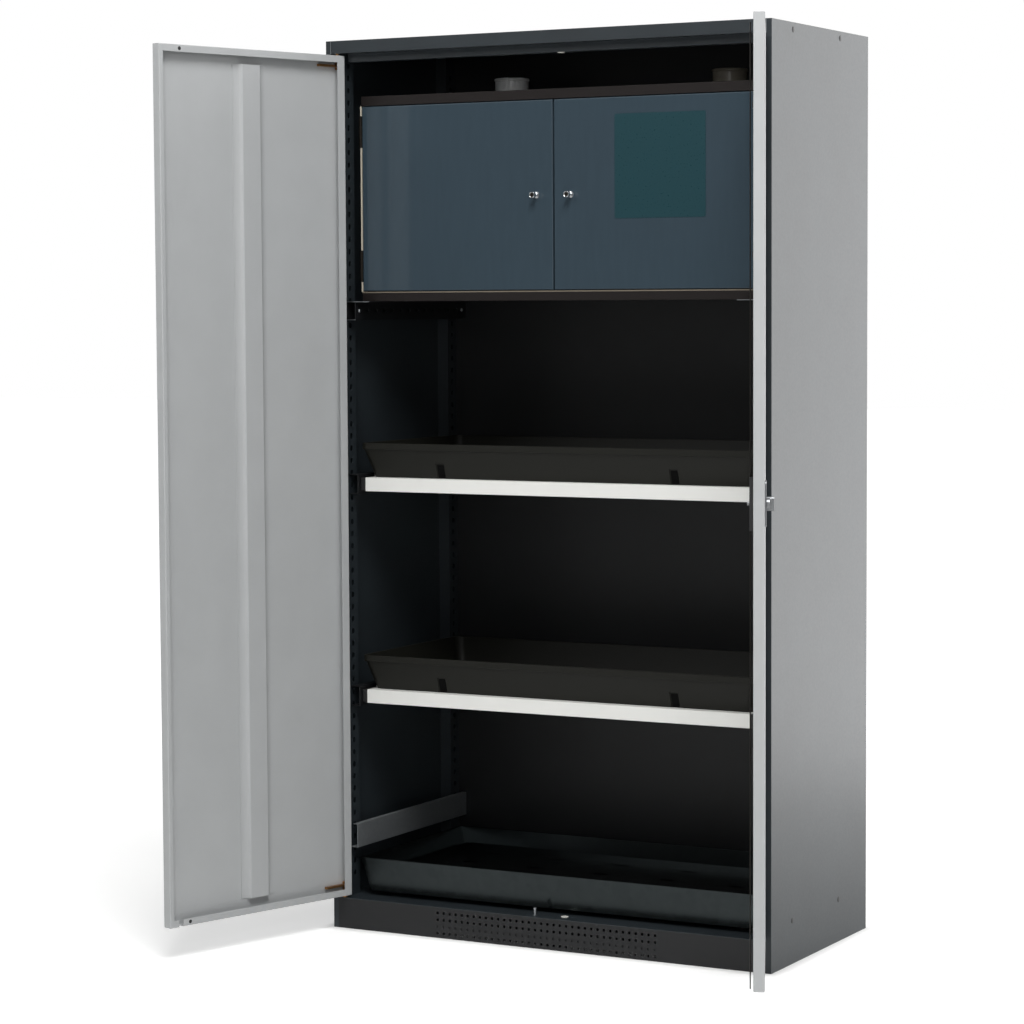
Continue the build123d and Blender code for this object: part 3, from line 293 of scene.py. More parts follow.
def vary(tree, shader, colour, tint, gloss, relief=None):
    """
    Lets patterns vary a shader. tint: a pattern, two gains of the colour, and where on the pattern they lie.
    gloss: a pattern, the least and the most roughness. relief: strength and depth in mm of the gloss pattern.
    """
    pattern, *gains, start, end = tint
    ramp = add_node(tree, "ShaderNodeValToRGB", links={"Fac": pattern})
    for element, gain, place in zip(ramp.color_ramp.elements, gains, (start, end)):
        element.position = place
        element.color = rgba(colour, gain)
    feed(tree, ramp, shader, "Base Color")
    pattern, smooth, rough = gloss
    spread = add_node(tree, "ShaderNodeMapRange", {"To Min": smooth, "To Max": rough}, {"Value": pattern})
    feed(tree, spread, shader, "Roughness")
    if relief:
        strength, depth_mm = relief
        bump = add_node(tree, "ShaderNodeBump", {"Strength": strength, "Distance": depth_mm * MM},
                        {"Height": pattern})
        feed(tree, bump, shader, "Normal")


def powder_coat(name, colour, roughness, grain_mm, cloud_mm, cloud):
    """Baked polyester powder: an even colour with fine orange peel and faint clouds of thicker powder."""
    material, tree, shader, place = new_material(name)
    clouds = add_node(tree, "ShaderNodeTexNoise", {"Scale": 1 / (cloud_mm * MM), "Detail": 3.0},
                      {"Vector": place})
    peel = add_node(tree, "ShaderNodeTexNoise", {"Scale": 1 / (grain_mm * MM), "Detail": 2.0},
                    {"Vector": place})
    vary(tree, shader, colour, (clouds, 1 - cloud, 1 + cloud, 0.3, 0.7),
         (peel, roughness - 0.06, roughness + 0.06), (0.12, 0.4))
    shader.inputs["IOR"].default_value = 1.5
    return material


def moulded_plastic(name, colour, roughness, grain_mm, specular=0.5):
    """Injection moulded plastic: an even tint with a fine spark-eroded grain."""
    material, tree, shader, place = new_material(name)
    grain = add_node(tree, "ShaderNodeTexNoise", {"Scale": 1 / (grain_mm * MM), "Detail": 4.0},
                     {"Vector": place})
    vary(tree, shader, colour, (grain, 0.86, 1.14, 0.0, 1.0), (grain, roughness - 0.08, roughness + 0.08),
         (0.15, 0.2))
    shader.inputs["Specular IOR Level"].default_value = specular
    return material


def laminate(name, colour, smooth, rough, grain_mm, pore_mm):
    """Melamine laminate: a pressed face with a faint upright grain and fine pores."""
    material, tree, shader, place = new_material(name)
    stretch = add_node(tree, "ShaderNodeMapping", {"Scale": (1.0, 1.0, 0.12)}, {"Vector": place})
    grain = add_node(tree, "ShaderNodeTexNoise", {"Scale": 1 / (grain_mm * MM), "Detail": 4.0},
                     {"Vector": stretch})
    pores = add_node(tree, "ShaderNodeTexNoise", {"Scale": 1 / (pore_mm * MM), "Detail": 2.0},
                     {"Vector": place})
    vary(tree, shader, colour, (grain, 0.92, 1.08, 0.0, 1.0), (pores, smooth, rough), (0.02, 0.1))
    return material


def dipped_zinc(name, colour, smooth, rough, spangle_mm, cloud_mm):
    """Hot-dip zinc: grains of spangle, each with its own grey and its own gloss."""
    material, tree, shader, place = new_material(name)
    spangle = add_node(tree, "ShaderNodeTexVoronoi", {"Scale": 1 / (spangle_mm * MM)}, {"Vector": place})
    bleed = add_node(tree, "ShaderNodeTexNoise", {"Scale": 1 / (cloud_mm * MM), "Detail": 4.0},
                     {"Vector": place})
    blend = add_node(tree, "ShaderNodeMix", {"Factor": 0.55},
                     {"A": spangle.outputs["Color"], "B": bleed}, data_type="FLOAT")
    vary(tree, shader, colour, (blend, 0.88, 1.12, 0.2, 0.8), (blend, smooth, rough))
    shader.inputs["Metallic"].default_value = 1.0
    return material


def worked_metal(name, colour, roughness, streak_mm):
    """Bare or plated metal with fine streaks from its working."""
    material, tree, shader, place = new_material(name)
    streaks = add_node(tree, "ShaderNodeTexNoise", {"Scale": 1 / (streak_mm * MM), "Detail": 3.0},
                       {"Vector": place})
    vary(tree, shader, colour, (streaks, 0.85, 1.12, 0.0, 1.0), (streaks, roughness - 0.05, roughness + 0.08))
    shader.inputs["Metallic"].default_value = 1.0
    return material


# Each finish: what makes it, its colour, then its roughness, its pattern sizes in mm and its strengths.
FINISHES = {
    # Dark structured powder: grazing light turns it pale and shows its grain, drawn coarser to show.
    "anthracite powder coat": (powder_coat, "anthracite", 0.38, 5.0, 120.0, 0.10),
    # The same powder in black on the plinth, the back and the rails; on the back and the rails inside the
    # carcass this black is painted shade.
    "black powder coat": (powder_coat, "black_coat", 0.42, 5.0, 120.0, 0.12),
    # Smooth pale powder on large flat doors: only faint clouds break it up.
    "light grey powder coat": (powder_coat, "light_grey", 0.42, 6.0, 90.0, 0.02),
    # Smooth white powder on the tray frames, satin and clean.
    "white powder coat": (powder_coat, "white", 0.35, 4.0, 60.0, 0.008),
    # Tub moulded of polyethylene: waxy and soft, with a broad dull sheen.
    "black polyethylene": (moulded_plastic, "black_polymer", 0.5, 3.0, 0.25),
    # Caps, feet and glides: matt and deep.
    "black nylon": (moulded_plastic, "black_plastic", 0.5, 2.0),
    # Dark plates in the clip pockets and notches of the tubs: dead black, with hardly a shine, as painted
    # shade.
    "black rubber": (moulded_plastic, "rubber", 0.8, 2.0, 0.1),
    # Bushes and sockets: natural nylon, slightly yellow.
    "white nylon": (moulded_plastic, "nylon", 0.4, 2.0),
    # Swelling seal strip: dull, chalky and slightly yellow.
    "pale seal": (moulded_plastic, "seal", 0.7, 2.0),
    # Left duct spigot: pale pipe plastic, drawn near white as painted light on the lit copy of the pair.
    "grey pvc": (moulded_plastic, "grey_plastic", 0.35, 3.0),
    # Right duct spigot: the same pipe plastic drawn in brown-grey as painted shade on the shaded copy of the
    # pair.
    "dark pvc": (moulded_plastic, "dark_plastic", 0.35, 3.0),
    # Fire board with dark edge bands: nearly black and satin.
    "edge banded board": (moulded_plastic, "board", 0.5, 6.0, 0.3),
    # Pale beige-brown band along the top front edge of the box floor: a painted highlight of that edge.
    "brown band": (moulded_plastic, "raw_edge", 0.6, 3.0),
    # Film plate left bare: even petrol under a satin film.
    "petrol film": (moulded_plastic, "petrol", 0.3, 4.0),
    # Smooth slate, glossy enough to mirror the open door beside it.
    "slate laminate": (laminate, "slate", 0.05, 0.10, 12.0, 2.5),
    # Galvanised sump: dark zinc with faint spangle, which mirrors the floor softly.
    "galvanised steel": (dipped_zinc, "galvanised", 0.16, 0.30, 14.0, 60.0),
    # Pressed brass levers, dulled by handling.
    "brass": (worked_metal, "brass", 0.35, 3.0),
    # Polished plate: bright, with hardly a mark.
    "chrome": (worked_metal, "chrome", 0.14, 4.0),
    # Brushed plate on the handle: grey with a broad soft shine.
    "satin chrome": (worked_metal, "satin", 0.38, 2.0),
    # Clear zinc on pins and screws, and on the bright edges that paint highlights on the hems and the rail
    # ends: pale and satin.
    "zinc plate": (worked_metal, "zinc", 0.35, 3.0),
    # Weathered zinc on the side rails: grey, with its shine spread wide.
    "matt zinc": (worked_metal, "zinc", 0.62, 8.0),
    # Blackened zinc on the slides: brown-black with a dull metal sheen.
    "black zinc": (worked_metal, "black_zinc", 0.42, 5.0),
}


def finish(name):
    """A finish by its name, made once."""
    maker, colour, *numbers = FINISHES[name]
    colours = bpy.context.scene.cabinet_colours
    return bpy.data.materials.get(name) or maker(name, getattr(colours, colour), *numbers)


def dress(look, *nodes):
    """Gives CAD nodes a better material."""
    for node in nodes:
        for slot in frame["nodes"][node].material_slots:
            slot.material = finish(look)


def merge(bm):
    """Joins points that lie in one place."""
    bmesh.ops.remove_doubles(bm, verts=bm.verts, dist=MERGE)


def make_piece(name, bm, look, body, slot, *nodes):
    """Turns a bmesh into a piece that rides on a body and stands for CAD nodes."""
    merge(bm)
    bmesh.ops.recalc_face_normals(bm, faces=bm.faces)
    mesh = bpy.data.meshes.new(name)
    bm.to_mesh(mesh)
    bm.free()
    mesh.materials.append(finish(look))
    mesh.polygons.foreach_set("use_smooth", [True] * len(mesh.polygons))
    mesh.set_sharp_from_angle(angle=SHARP)
    piece = bpy.data.objects.new(name, mesh)
    bpy.context.scene.collection.objects.link(piece)
    piece.modifiers.new("even shading", "WEIGHTED_NORMAL").keep_sharp = True
    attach(piece, body)
    if nodes:
        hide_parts(*nodes)
    return piece


def sharp_edges(bm):
    """Edges that are bent enough to stay crisp."""
    return [e for e in bm.edges if e.is_manifold and e.calc_face_angle() > SHARP]


def round_edges(bm, edges, width, segments=2, clamp=True):
    """Rounds edges to a width."""
    bmesh.ops.bevel(bm, geom=edges, offset=width, offset_type="OFFSET", segments=segments, profile=0.5,
                    affect="EDGES", clamp_overlap=clamp, material=-1)


def cad_copy(node):
    """A merged copy of a CAD node's mesh, with its flat faces joined."""
    bm = bmesh.new()
    bm.from_mesh(frame["nodes"][node].data)
    merge(bm)
    bmesh.ops.dissolve_limit(bm, angle_limit=FLAT, verts=bm.verts, edges=bm.edges)
    return bm


def softened(node, name, look, slot, width):
    """A copy of a CAD node with its sharp edges rounded."""
    bm = cad_copy(node)
    round_edges(bm, sharp_edges(bm), width)
    return make_piece(name, bm, look, node_body(node), slot, node)


def face_width(face, edge):
    """How far a face reaches from one of its edges."""
    start = edge.verts[0].co
    along = (edge.verts[1].co - start).normalized()
    return max((v.co - start - along * along.dot(v.co - start)).length for v in face.verts)


def folded(node, name, look, slot, radius):
    """A copy of a CAD node of sheet whose long outer folds are rounded, and its cut edges left crisp."""
    bm = cad_copy(node)
    folds = [e for e in sharp_edges(bm) if e.is_convex and e.calc_length() > FOLD_LENGTH * radius
             and all(face_width(face, e) > FOLD_WIDTH * radius for face in e.link_faces)]
    round_edges(bm, folds, radius, segments=4, clamp=False)
    return make_piece(name, bm, look, node_body(node), slot, node)


def spun(profile, steps=ROUND_STEPS):
    """A turned piece about Z from (radius, height) points."""
    bm = bmesh.new()
    verts = [bm.verts.new((radius, 0.0, height)) for radius, height in profile]
    edges = [bm.edges.new(pair) for pair in zip(verts, verts[1:])]
    bmesh.ops.spin(bm, geom=verts + edges, axis=(0, 0, 1), cent=(0, 0, 0), angle=2 * pi, steps=steps,
                   use_merge=True)
    merge(bm)
    return bm


def turned(shares, radius, height, steps):
    """A turned piece from shares of a radius and a height."""
    return spun([(radius * out, height * up) for out, up in shares], steps)


def move(bm, matrix):
    """Moves all points of a bmesh."""
    bmesh.ops.transform(bm, matrix=matrix, verts=bm.verts)


def join(target, source, matrix):
    """Adds one bmesh to another, at the place that a matrix gives, and frees it."""
    move(source, matrix)
    mesh = bpy.data.meshes.new("joined")
    source.to_mesh(mesh)
    source.free()
    target.from_mesh(mesh)
    bpy.data.meshes.remove(mesh)


def studs(shares, radius, height, places, steps=DISC_STEPS):
    """Turned heads, one at each place that a matrix gives."""
    bm = bmesh.new()
    for place in places:
        join(bm, turned(shares, radius, height, steps), place)
    return bm


def axes(x, y, z, place):
    """A matrix whose columns are three axes and a place."""
    columns = [Vector(axis).to_4d() for axis in (x, y, z)]
    for column in columns:
        column.w = 0.0
    matrix = Matrix(columns + [Vector(place).to_4d()])
    return matrix.transposed()


def to_front(x, y, z):
    """Stands a piece that was made on the XY plane up, so that its top looks to the front."""
    return axes((1, 0, 0), (0, 0, 1), (0, -1, 0), (x, y, z))


def to_side(side, place):
    """Turns a piece that was made about Z, so that its top looks to the right (1) or to the left (-1)."""
    return axes((0, side, 0), (0, 0, 1), (side, 0, 0), place)


def punched_plate(columns, rows, pitch, hole, low, high, grid_middle):
    """A flat plate in the XY plane with a grid of round-ended holes."""
    bm = bmesh.new()
    radius = min(hole) / 2
    straight = [size / 2 - radius for size in hole]
    for k in range(columns * rows):
        ring = bmesh.ops.create_circle(bm, segments=HOLE_STEPS, radius=radius)["verts"]
        cell = bmesh.ops.create_circle(bm, segments=HOLE_STEPS, radius=radius)["verts"]
        loops = list({edge for vert in ring + cell for edge in vert.link_edges})
        for vert in ring:
            for axis in (0, 1):
                if abs(vert.co[axis]) > MERGE:
                    vert.co[axis] += copysign(straight[axis], vert.co[axis])
        for vert in cell:
            reach = max(abs(vert.co.x), abs(vert.co.y))
            vert.co.x *= pitch[0] / 2 / reach
            vert.co.y *= pitch[1] / 2 / reach
        bmesh.ops.bridge_loops(bm, edges=loops)
        column, row = k % columns - (columns - 1) / 2, k // columns - (rows - 1) / 2
        shift = (grid_middle[0] + column * pitch[0], grid_middle[1] + row * pitch[1], 0.0)
        bmesh.ops.translate(bm, verts=ring + cell, vec=shift)
    merge(bm)
    for axis, sign, edge in ((0, -1, low[0]), (0, 1, high[0]), (1, -1, low[1]), (1, 1, high[1])):
        draw_out(bm, axis, sign, axis, edge)
    return bm


def draw_out(bm, axis, sign, move_axis, end):
    """Extrudes the border that lies furthest along an axis, and moves it to an end."""
    border = max(sign * vert.co[axis] for vert in bm.verts) * sign
    edges = [e for e in bm.edges if e.is_boundary and all(abs(v.co[axis] - border) < MERGE for v in e.verts)]
    made = bmesh.ops.extrude_edge_only(bm, edges=edges)["geom"]
    for vert in made:
        if isinstance(vert, bmesh.types.BMVert):
            vert.co[move_axis] = end


def thicken(bm, sheet):
    """Gives an open plate, whose flat side looks along +Z, its thickness away from that side."""
    bmesh.ops.recalc_face_normals(bm, faces=bm.faces)
    flat = max(bm.faces, key=lambda face: abs(face.normal.z))
    if flat.normal.z < 0:
        bmesh.ops.reverse_faces(bm, faces=bm.faces)
    bmesh.ops.recalc_face_normals(bm, faces=bm.faces)
    bmesh.ops.solidify(bm, geom=bm.faces, thickness=sheet)


def punched_webs(columns, rows, pitch, hole, low, high, face, sheet, flange=0.0):
    """Two upright plates with slots, at x = face and -face, with flanges if these have a depth."""
    bm = bmesh.new()
    for side in (-1, 1):
        web = punched_plate(columns, rows, pitch, hole, (low.y, low.z), (high.y, high.z),
                            ((low.y + high.y) / 2, (low.z + high.z) / 2))
        for sign in (-1, 1) if flange else ():
            draw_out(web, 0, sign, 2, -flange)
        thicken(web, sheet)
        join(bm, web, axes((0, 1, 0), (0, 0, 1), (-side, 0, 0), (side * face, 0, 0)))
    return bm


def rounded_face(low, high, z, corner, segments=6):
    """A bmesh with one level face whose corners are round."""
    bm = bmesh.new()
    verts = bmesh.ops.create_grid(bm, x_segments=1, y_segments=1, size=0.5)["verts"]
    size = (high[0] - low[0], high[1] - low[1], 1.0)
    bmesh.ops.scale(bm, vec=size, verts=verts)
    bmesh.ops.translate(bm, vec=((low[0] + high[0]) / 2, (low[1] + high[1]) / 2, z), verts=verts)
    if corner:
        bmesh.ops.bevel(bm, geom=bm.verts[:], offset=corner, offset_type="OFFSET", segments=segments,
                        profile=0.5, affect="VERTICES", material=-1)
    return bm


def raise_face(bm, face, low, high, z):
    """Extrudes a level face and fits the new one between two corners at a height."""
    is_first = all(edge.is_boundary for edge in face.edges)
    made = bmesh.ops.extrude_face_region(bm, geom=[face])["geom"]
    top = next(item for item in made if isinstance(item, bmesh.types.BMFace))
    if face.is_valid and not is_first:
        bmesh.ops.delete(bm, geom=[face], context="FACES_ONLY")
    for axis in (0, 1):
        values = [vert.co[axis] for vert in top.verts]
        scale = (high[axis] - low[axis]) / (max(values) - min(values))
        start = min(values)
        for vert in top.verts:
            vert.co[axis] = low[axis] + (vert.co[axis] - start) * scale
    for vert in top.verts:
        vert.co.z = z
    return top


def push_out(bm, faces, way):
    """Extrudes faces and moves the new ones."""
    made = bmesh.ops.extrude_face_region(bm, geom=faces)["geom"]
    verts = [item for item in made if isinstance(item, bmesh.types.BMVert)]
    bmesh.ops.translate(bm, vec=way, verts=verts)


def sink(bm, faces, way):
    """Sinks faces into the piece, with walls round them."""
    push_out(bm, faces, way)
    bmesh.ops.delete(bm, geom=[face for face in faces if face.is_valid], context="FACES_ONLY")


def flat_plate(low, high, corner, thick):
    """A thin plate in the XY plane with round corners."""
    bm = rounded_face(low, high, 0.0, corner)
    push_out(bm, bm.faces[:], (0, 0, thick))
    return bm


def front_plate(low, high, corner, thick, y):
    """A thin plate that faces the front, between two (x, z) corners, standing out from y."""
    bm = flat_plate(low, high, corner, thick)
    move(bm, to_front(0, y, 0))
    return bm


def swing(side):
    """How a door's own space, with the door closed, turns to its open place."""
    sign = -1 if side == "left" else 1
    pivot = Matrix.Translation((sign * PIVOT_X, PIVOT_Y, 0.0))
    return pivot @ Matrix.Rotation(DOOR_SWING[side], 4, "Z") @ pivot.inverted()


def flattened(node, name, look, slot, share):
    """A copy of a CAD node of the right door, pressed flat towards the door to a share of its depth."""
    bm = cad_copy(node)
    move(bm, swing("right").inverted())
    near = min(vert.co.y for vert in bm.verts)
    start = Matrix.Translation((0, near, 0))
    move(bm, swing("right") @ start @ Matrix.Diagonal((1, share, 1, 1)) @ start.inverted())
    return make_piece(name, bm, look, node_body(node), slot, node)


def inset(low, high, x, y):
    """Corners of a level rectangle drawn in by two widths."""
    return (low[0] + x, low[1] + y), (high[0] - x, high[1] - y)


def basin(low, high, lip, lip_height, drafts, wall, corner=0.0, cut=None):
    """An open tub with leaning walls under a lip, and the low corners of its wall and base."""
    outer = inset(low, high, lip, lip)
    base = inset(*outer, *drafts)
    bm = rounded_face(*base, low.z, corner)
    face = raise_face(bm, bm.faces[:][0], *outer, high.z - lip_height)
    if cut:
        cut(bm)
    for corners, z in (((low, high), high.z - lip_height), ((low, high), high.z),
                       (inset(*outer, wall, wall), high.z), (inset(*base, wall, wall), low.z + wall)):
        face = raise_face(bm, face, *corners, z)
    bmesh.ops.recalc_face_normals(bm, faces=bm.faces)
    return bm, outer[0], base[0]


class CABINET_OT_carcass(bpy.types.Operator):
    """Paints the panels of the carcass and rounds the edges that show"""
    bl_idname = "cabinet.carcass"
    bl_label = "Carcass"

    def execute(self, context):
        sizes = context.scene.cabinet_sizes
        dress("anthracite powder coat", "top_panel", "floor_panel", "floor_beam", "left_side_panel",
              "right_side_panel")
        # The back panel is darkened to black as painted shade of the inside of the carcass.
        dress("black powder coat", "back_panel")
        self.header(sizes)
        dress("black nylon", "levelling_feet", "sump_glides")
        dress("white nylon", "door_bushes")
        return {"FINISHED"}

    def header(self, sizes):
        """The fascia with the joints where the hems of the sides meet it, and bright zinc strips at its ends
        as painted highlights.
        """
        bm = cad_copy("top_fascia")
        low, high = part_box("top_fascia")
        half = sizes.joint / 2
        # Bright zinc strips at both ends of the fascia paint the highlight along each hem's edge.
        edges = bmesh.new()
        for end in (low.x, high.x):
            reach = sizes.cut_edge / 2
            edge = front_plate((end - reach, high.z - sizes.fascia), (end + reach, high.z), 0.0,
                               sizes.edge_proud, low.y)
            join(edges, edge, Matrix.Identity(4))
            x = end - copysign(sizes.joint_inset, end)
            for cut in (x - half, x + half):
                geom = bm.verts[:] + bm.edges[:] + bm.faces[:]
                bmesh.ops.bisect_plane(bm, geom=geom, plane_co=(cut, 0, 0), plane_no=(1, 0, 0))
            middles = {face: face.calc_center_median() for face in bm.faces}
            strip = [face for face, middle in middles.items()
                     if abs(middle.x - x) < half and middle.y < low.y + MERGE]
            sink(bm, strip, (0, sizes.joint / 2, 0))
        round_edges(bm, sharp_edges(bm), sizes.edge)
        make_piece("header", bm, "anthracite powder coat", "carcass", "carcass_paint", "top_fascia")
        make_piece("hem_cut_edges", edges, "zinc plate", "carcass", "carcass_paint")


class CABINET_OT_plinth(bpy.types.Operator):
    """Plinth front with its grid of round vent holes"""
    bl_idname = "cabinet.plinth"
    bl_label = "Plinth front"

    def execute(self, context):
        sizes = context.scene.cabinet_sizes
        low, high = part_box("plinth_front")
        middle_row = sizes.vent_low + (sizes.vent_rows - 1) * sizes.vent_pitch / 2
        bm = punched_plate(sizes.vent_columns, sizes.vent_rows, (sizes.vent_pitch, sizes.vent_pitch),
                           (sizes.vent, sizes.vent), (low.x, low.z), (high.x, high.z), (0.0, middle_row))
        draw_out(bm, 1, -1, 2, low.y - high.y)
        thicken(bm, sizes.sheet)
        move(bm, to_front(0, low.y, 0))
        make_piece("vented_plinth", bm, "black powder coat", "carcass", "carcass_paint", "plinth_front")
        row = sizes.vent_low + sizes.vent_pitch
        reach = sizes.vent_columns * sizes.vent_pitch / 2
        strip = front_plate((-reach, row - sizes.vent), (reach, row + sizes.vent), 0.0, sizes.sheet,
                            low.y + sizes.backing)
        make_piece("plinth_backing_strip", strip, "black powder coat", "carcass", "carcass_paint")
        return {"FINISHED"}


class CABINET_OT_uprights(bpy.types.Operator):
    """Four uprights with a row of slots up each web"""
    bl_idname = "cabinet.uprights"
    bl_label = "Slotted uprights"

    def execute(self, context):
        sizes = context.scene.cabinet_sizes
        for end in ("front", "rear"):
            node = f"{end}_uprights"
            low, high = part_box(node)
            inner = max(v.co.x for v in frame["nodes"][node].data.vertices if v.co.x < 0)
            count = int((high.z - low.z - 2 * sizes.slot_margin) / sizes.slot_pitch) + 1
            bm = punched_webs(1, count, (SLOT_CELL * sizes.slot_width, sizes.slot_pitch),
                              (sizes.slot_width, sizes.slot_height), low, high, -inner, sizes.sheet,
                              high.x + inner)
            make_piece(f"{end}_slotted_uprights", bm, "anthracite powder coat", "carcass", "carcass_paint",
                       node)
        return {"FINISHED"}


class CABINET_OT_side_caps(bpy.types.Operator):
    """Domed caps over the screws of the side panels"""
    bl_idname = "cabinet.side_caps"
    bl_label = "Side caps"

    def execute(self, context):
        sizes = context.scene.cabinet_sizes
        low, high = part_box("side_caps")
        radius = sizes.cap / 2
        proud = (high.x - low.x) / 2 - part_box("right_side_panel")[1].x
        places = [to_side(side, (side * (high.x - proud), y, z)) for side in (-1, 1)
                  for y in (low.y + radius, high.y - radius) for z in (low.z + radius, high.z - radius)]
        bm = studs(CAP_DOME, radius, proud, places, ROUND_STEPS)
        make_piece("domed_side_caps", bm, "black nylon", "carcass", "cap_plastic", "side_caps")
        return {"FINISHED"}


class CABINET_OT_doors(bpy.types.Operator):
    """Door pans, stiffeners and their pivot bolts"""
    bl_idname = "cabinet.doors"
    bl_label = "Doors"

    def execute(self, context):
        sizes = context.scene.cabinet_sizes
        for side in ("left", "right"):
            for node, name in (("panel", "pan"), ("rib", "stiffener")):
                folded(f"{side}_door_{node}", f"{side}_door_{name}", "light grey powder coat", "door_paint",
                       sizes.fold)
            softened(f"{side}_pivot_bolts", f"{side}_brass_bolts", "brass", "lever_brass", sizes.board_edge)
            self.lip_plugs(sizes, side)
        return {"FINISHED"}

    def lip_plugs(self, sizes, side):
        """Black discs in the returns of a door's upper and lower lips, near its free edge: painted shade of
        the holes there.
        """
        sign = -1 if side == "left" else 1
        low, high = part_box(f"{side}_door_panel")
        x = sign * (PIVOT_X - sizes.plug_reach)
        places = [swing(side) @ axes((-1, 0, 0), (0, 0, 1), (0, 1, 0), (x, DOOR_BACK, z))
                  for z in (low.z + sizes.plug_inset, high.z - sizes.plug_inset)]
        bm = studs(HOLE_SHADE_DOME, sizes.plug / 2, sizes.plug_proud, places)
        make_piece(f"{side}_lip_plugs", bm, "black nylon", f"{side}_door", "lock_plastic")


class CABINET_OT_lock(bpy.types.Operator):
    """Turn handle with its plate, lock case, rods and guides"""
    bl_idname = "cabinet.lock"
    bl_label = "Lock"

    def execute(self, context):
        sizes = context.scene.cabinet_sizes
        softened("handle_plate", "handle_rose", "satin chrome", "lock_chrome", sizes.board_edge)
        softened("turn_handle", "turn_grip", "satin chrome", "lock_chrome", sizes.board_edge)
        flattened("lock_case", "lock_housing", "black nylon", "lock_plastic", CASE_SHARE)
        flattened("rod_guides", "lock_rod_guides", "black nylon", "lock_plastic", GUIDE_SHARE)
        for place in ("upper", "lower"):
            flattened(f"{place}_lock_rod", f"{place}_flat_rod", "black zinc", "zinc_steel", ROD_SHARE)
        dress("zinc plate", "catch_pin")
        return {"FINISHED"}


class CABINET_OT_safety_box(bpy.types.Operator):
    """Boards, doors, hinges and rails of the safety box, and the bare plate on its right door"""
    bl_idname = "cabinet.safety_box"
    bl_label = "Safety box"

    def execute(self, context):
        sizes = context.scene.cabinet_sizes
        for node, name in (("floor", "floor_board"), ("roof", "roof_board"), ("sides", "side_boards"),
                           ("back", "back_board")):
            softened(f"box_{node}", f"box_{name}", "edge banded board", "box_board", sizes.board_edge)
        for side in ("left", "right"):
            softened(f"box_{side}_door", f"box_{side}_door_leaf", "slate laminate", "box_door_laminate",
                     sizes.edge)
            dress("black zinc", f"box_{side}_hinge_sleeves")
        dress("black zinc", "box_hinge_posts")
        softened("box_rails", "box_carrying_rails", "black powder coat", "carcass_paint", sizes.edge)
        # A pale strip along the top front edge of the box floor paints the highlight that this edge catches.
        low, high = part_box("box_floor")
        strip = front_plate((low.x, high.z - sizes.floor_strip), (high.x, high.z), 0.0, sizes.plate_thick,
                            low.y)
        make_piece("box_floor_strip", strip, "brown band", "carcass", "box_board")
        self.rail_ends(sizes)
        self.rail_strips(sizes)
        self.seal_strips(sizes)
        self.bare_plate(sizes)
        return {"FINISHED"}

    def rail_ends(self, sizes):
        """Bright zinc faces on the front ends of the carrying rails: painted highlights on their edges."""
        bm = cad_copy("box_rails")
        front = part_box("box_rails")[0].y
        others = [face for face in bm.faces if face.calc_center_median().y > front + MERGE]
        bmesh.ops.delete(bm, geom=others, context="FACES")
        push_out(bm, bm.faces[:], (0, -sizes.highlight_proud, 0))
        make_piece("rail_cut_edges", bm, "zinc plate", "carcass", "zinc_steel")

    def rail_strips(self, sizes):
        """Punched strips that close the carrying rails, with the screws that hold them."""
        low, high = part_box("box_rails")
        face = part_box("box_sides")[1].x
        count = int((high.y - low.y) / sizes.rail_slot_pitch) - 1
        strips = punched_webs(count, 1, (sizes.rail_slot_pitch, RAIL_CELL * sizes.rail_slot_width),
                              (sizes.rail_slot_length, sizes.rail_slot_width), low, high, face, sizes.sheet)
        inwards = sizes.rail_slot_pitch / 2
        screws = studs(HEAD_DOME, sizes.screw / 2, sizes.screw / 4,
                       [to_side(-side, (side * face, y, (low.z + high.z) / 2))
                        for side in (-1, 1) for y in (low.y + inwards, high.y - inwards)])
        make_piece("rail_hole_strips", strips, "black powder coat", "carcass", "carcass_paint")
        make_piece("rail_screws", screws, "zinc plate", "carcass", "zinc_steel")

    def seal_strips(self, sizes):
        """Strips beside the box doors, with gaps for the hinges."""
        low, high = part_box("box_sides")
        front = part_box("box_right_door")[0].y
        hinges = [vert.co.z for vert in frame["nodes"]["box_right_hinge_sleeves"].data.vertices]
        middle = (min(hinges) + max(hinges)) / 2
        ends = [low.z]
        for group in ([z for z in hinges if z < middle], [z for z in hinges if z > middle]):
            ends += [min(group) - sizes.hinge_room, max(group) + sizes.hinge_room]
        ends.append(high.z)
        bm = bmesh.new()
        for side in (-1, 1):
            for z_low, z_high in zip(ends[::2], ends[1::2]):
                strip = rounded_face((0.0, front + sizes.plate_thick), (sizes.seal_width, low.y), z_low, 0.0)
                push_out(strip, strip.faces[:], (0, 0, z_high - z_low))
                bmesh.ops.recalc_face_normals(strip, faces=strip.faces)
                round_edges(strip, sharp_edges(strip), sizes.edge)
                join(bm, strip, axes((side, 0, 0), (0, 1, 0), (0, 0, 1), (side * high.x, 0, 0)))
        make_piece("box_seal_strips", bm, "pale seal", "carcass", "box_board")

    def bare_plate(self, sizes):
        """A plain plate on the right box door."""
        low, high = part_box("box_right_door")
        left = low.x + sizes.plate_margin_x
        top = high.z - sizes.plate_drop
        bm = front_plate((left, top - sizes.plate_height), (left + sizes.plate_width, top),
                         sizes.plate_corner, sizes.plate_thick, low.y)
        make_piece("bare_door_plate", bm, "petrol film", "box_right_door", "box_door_laminate")


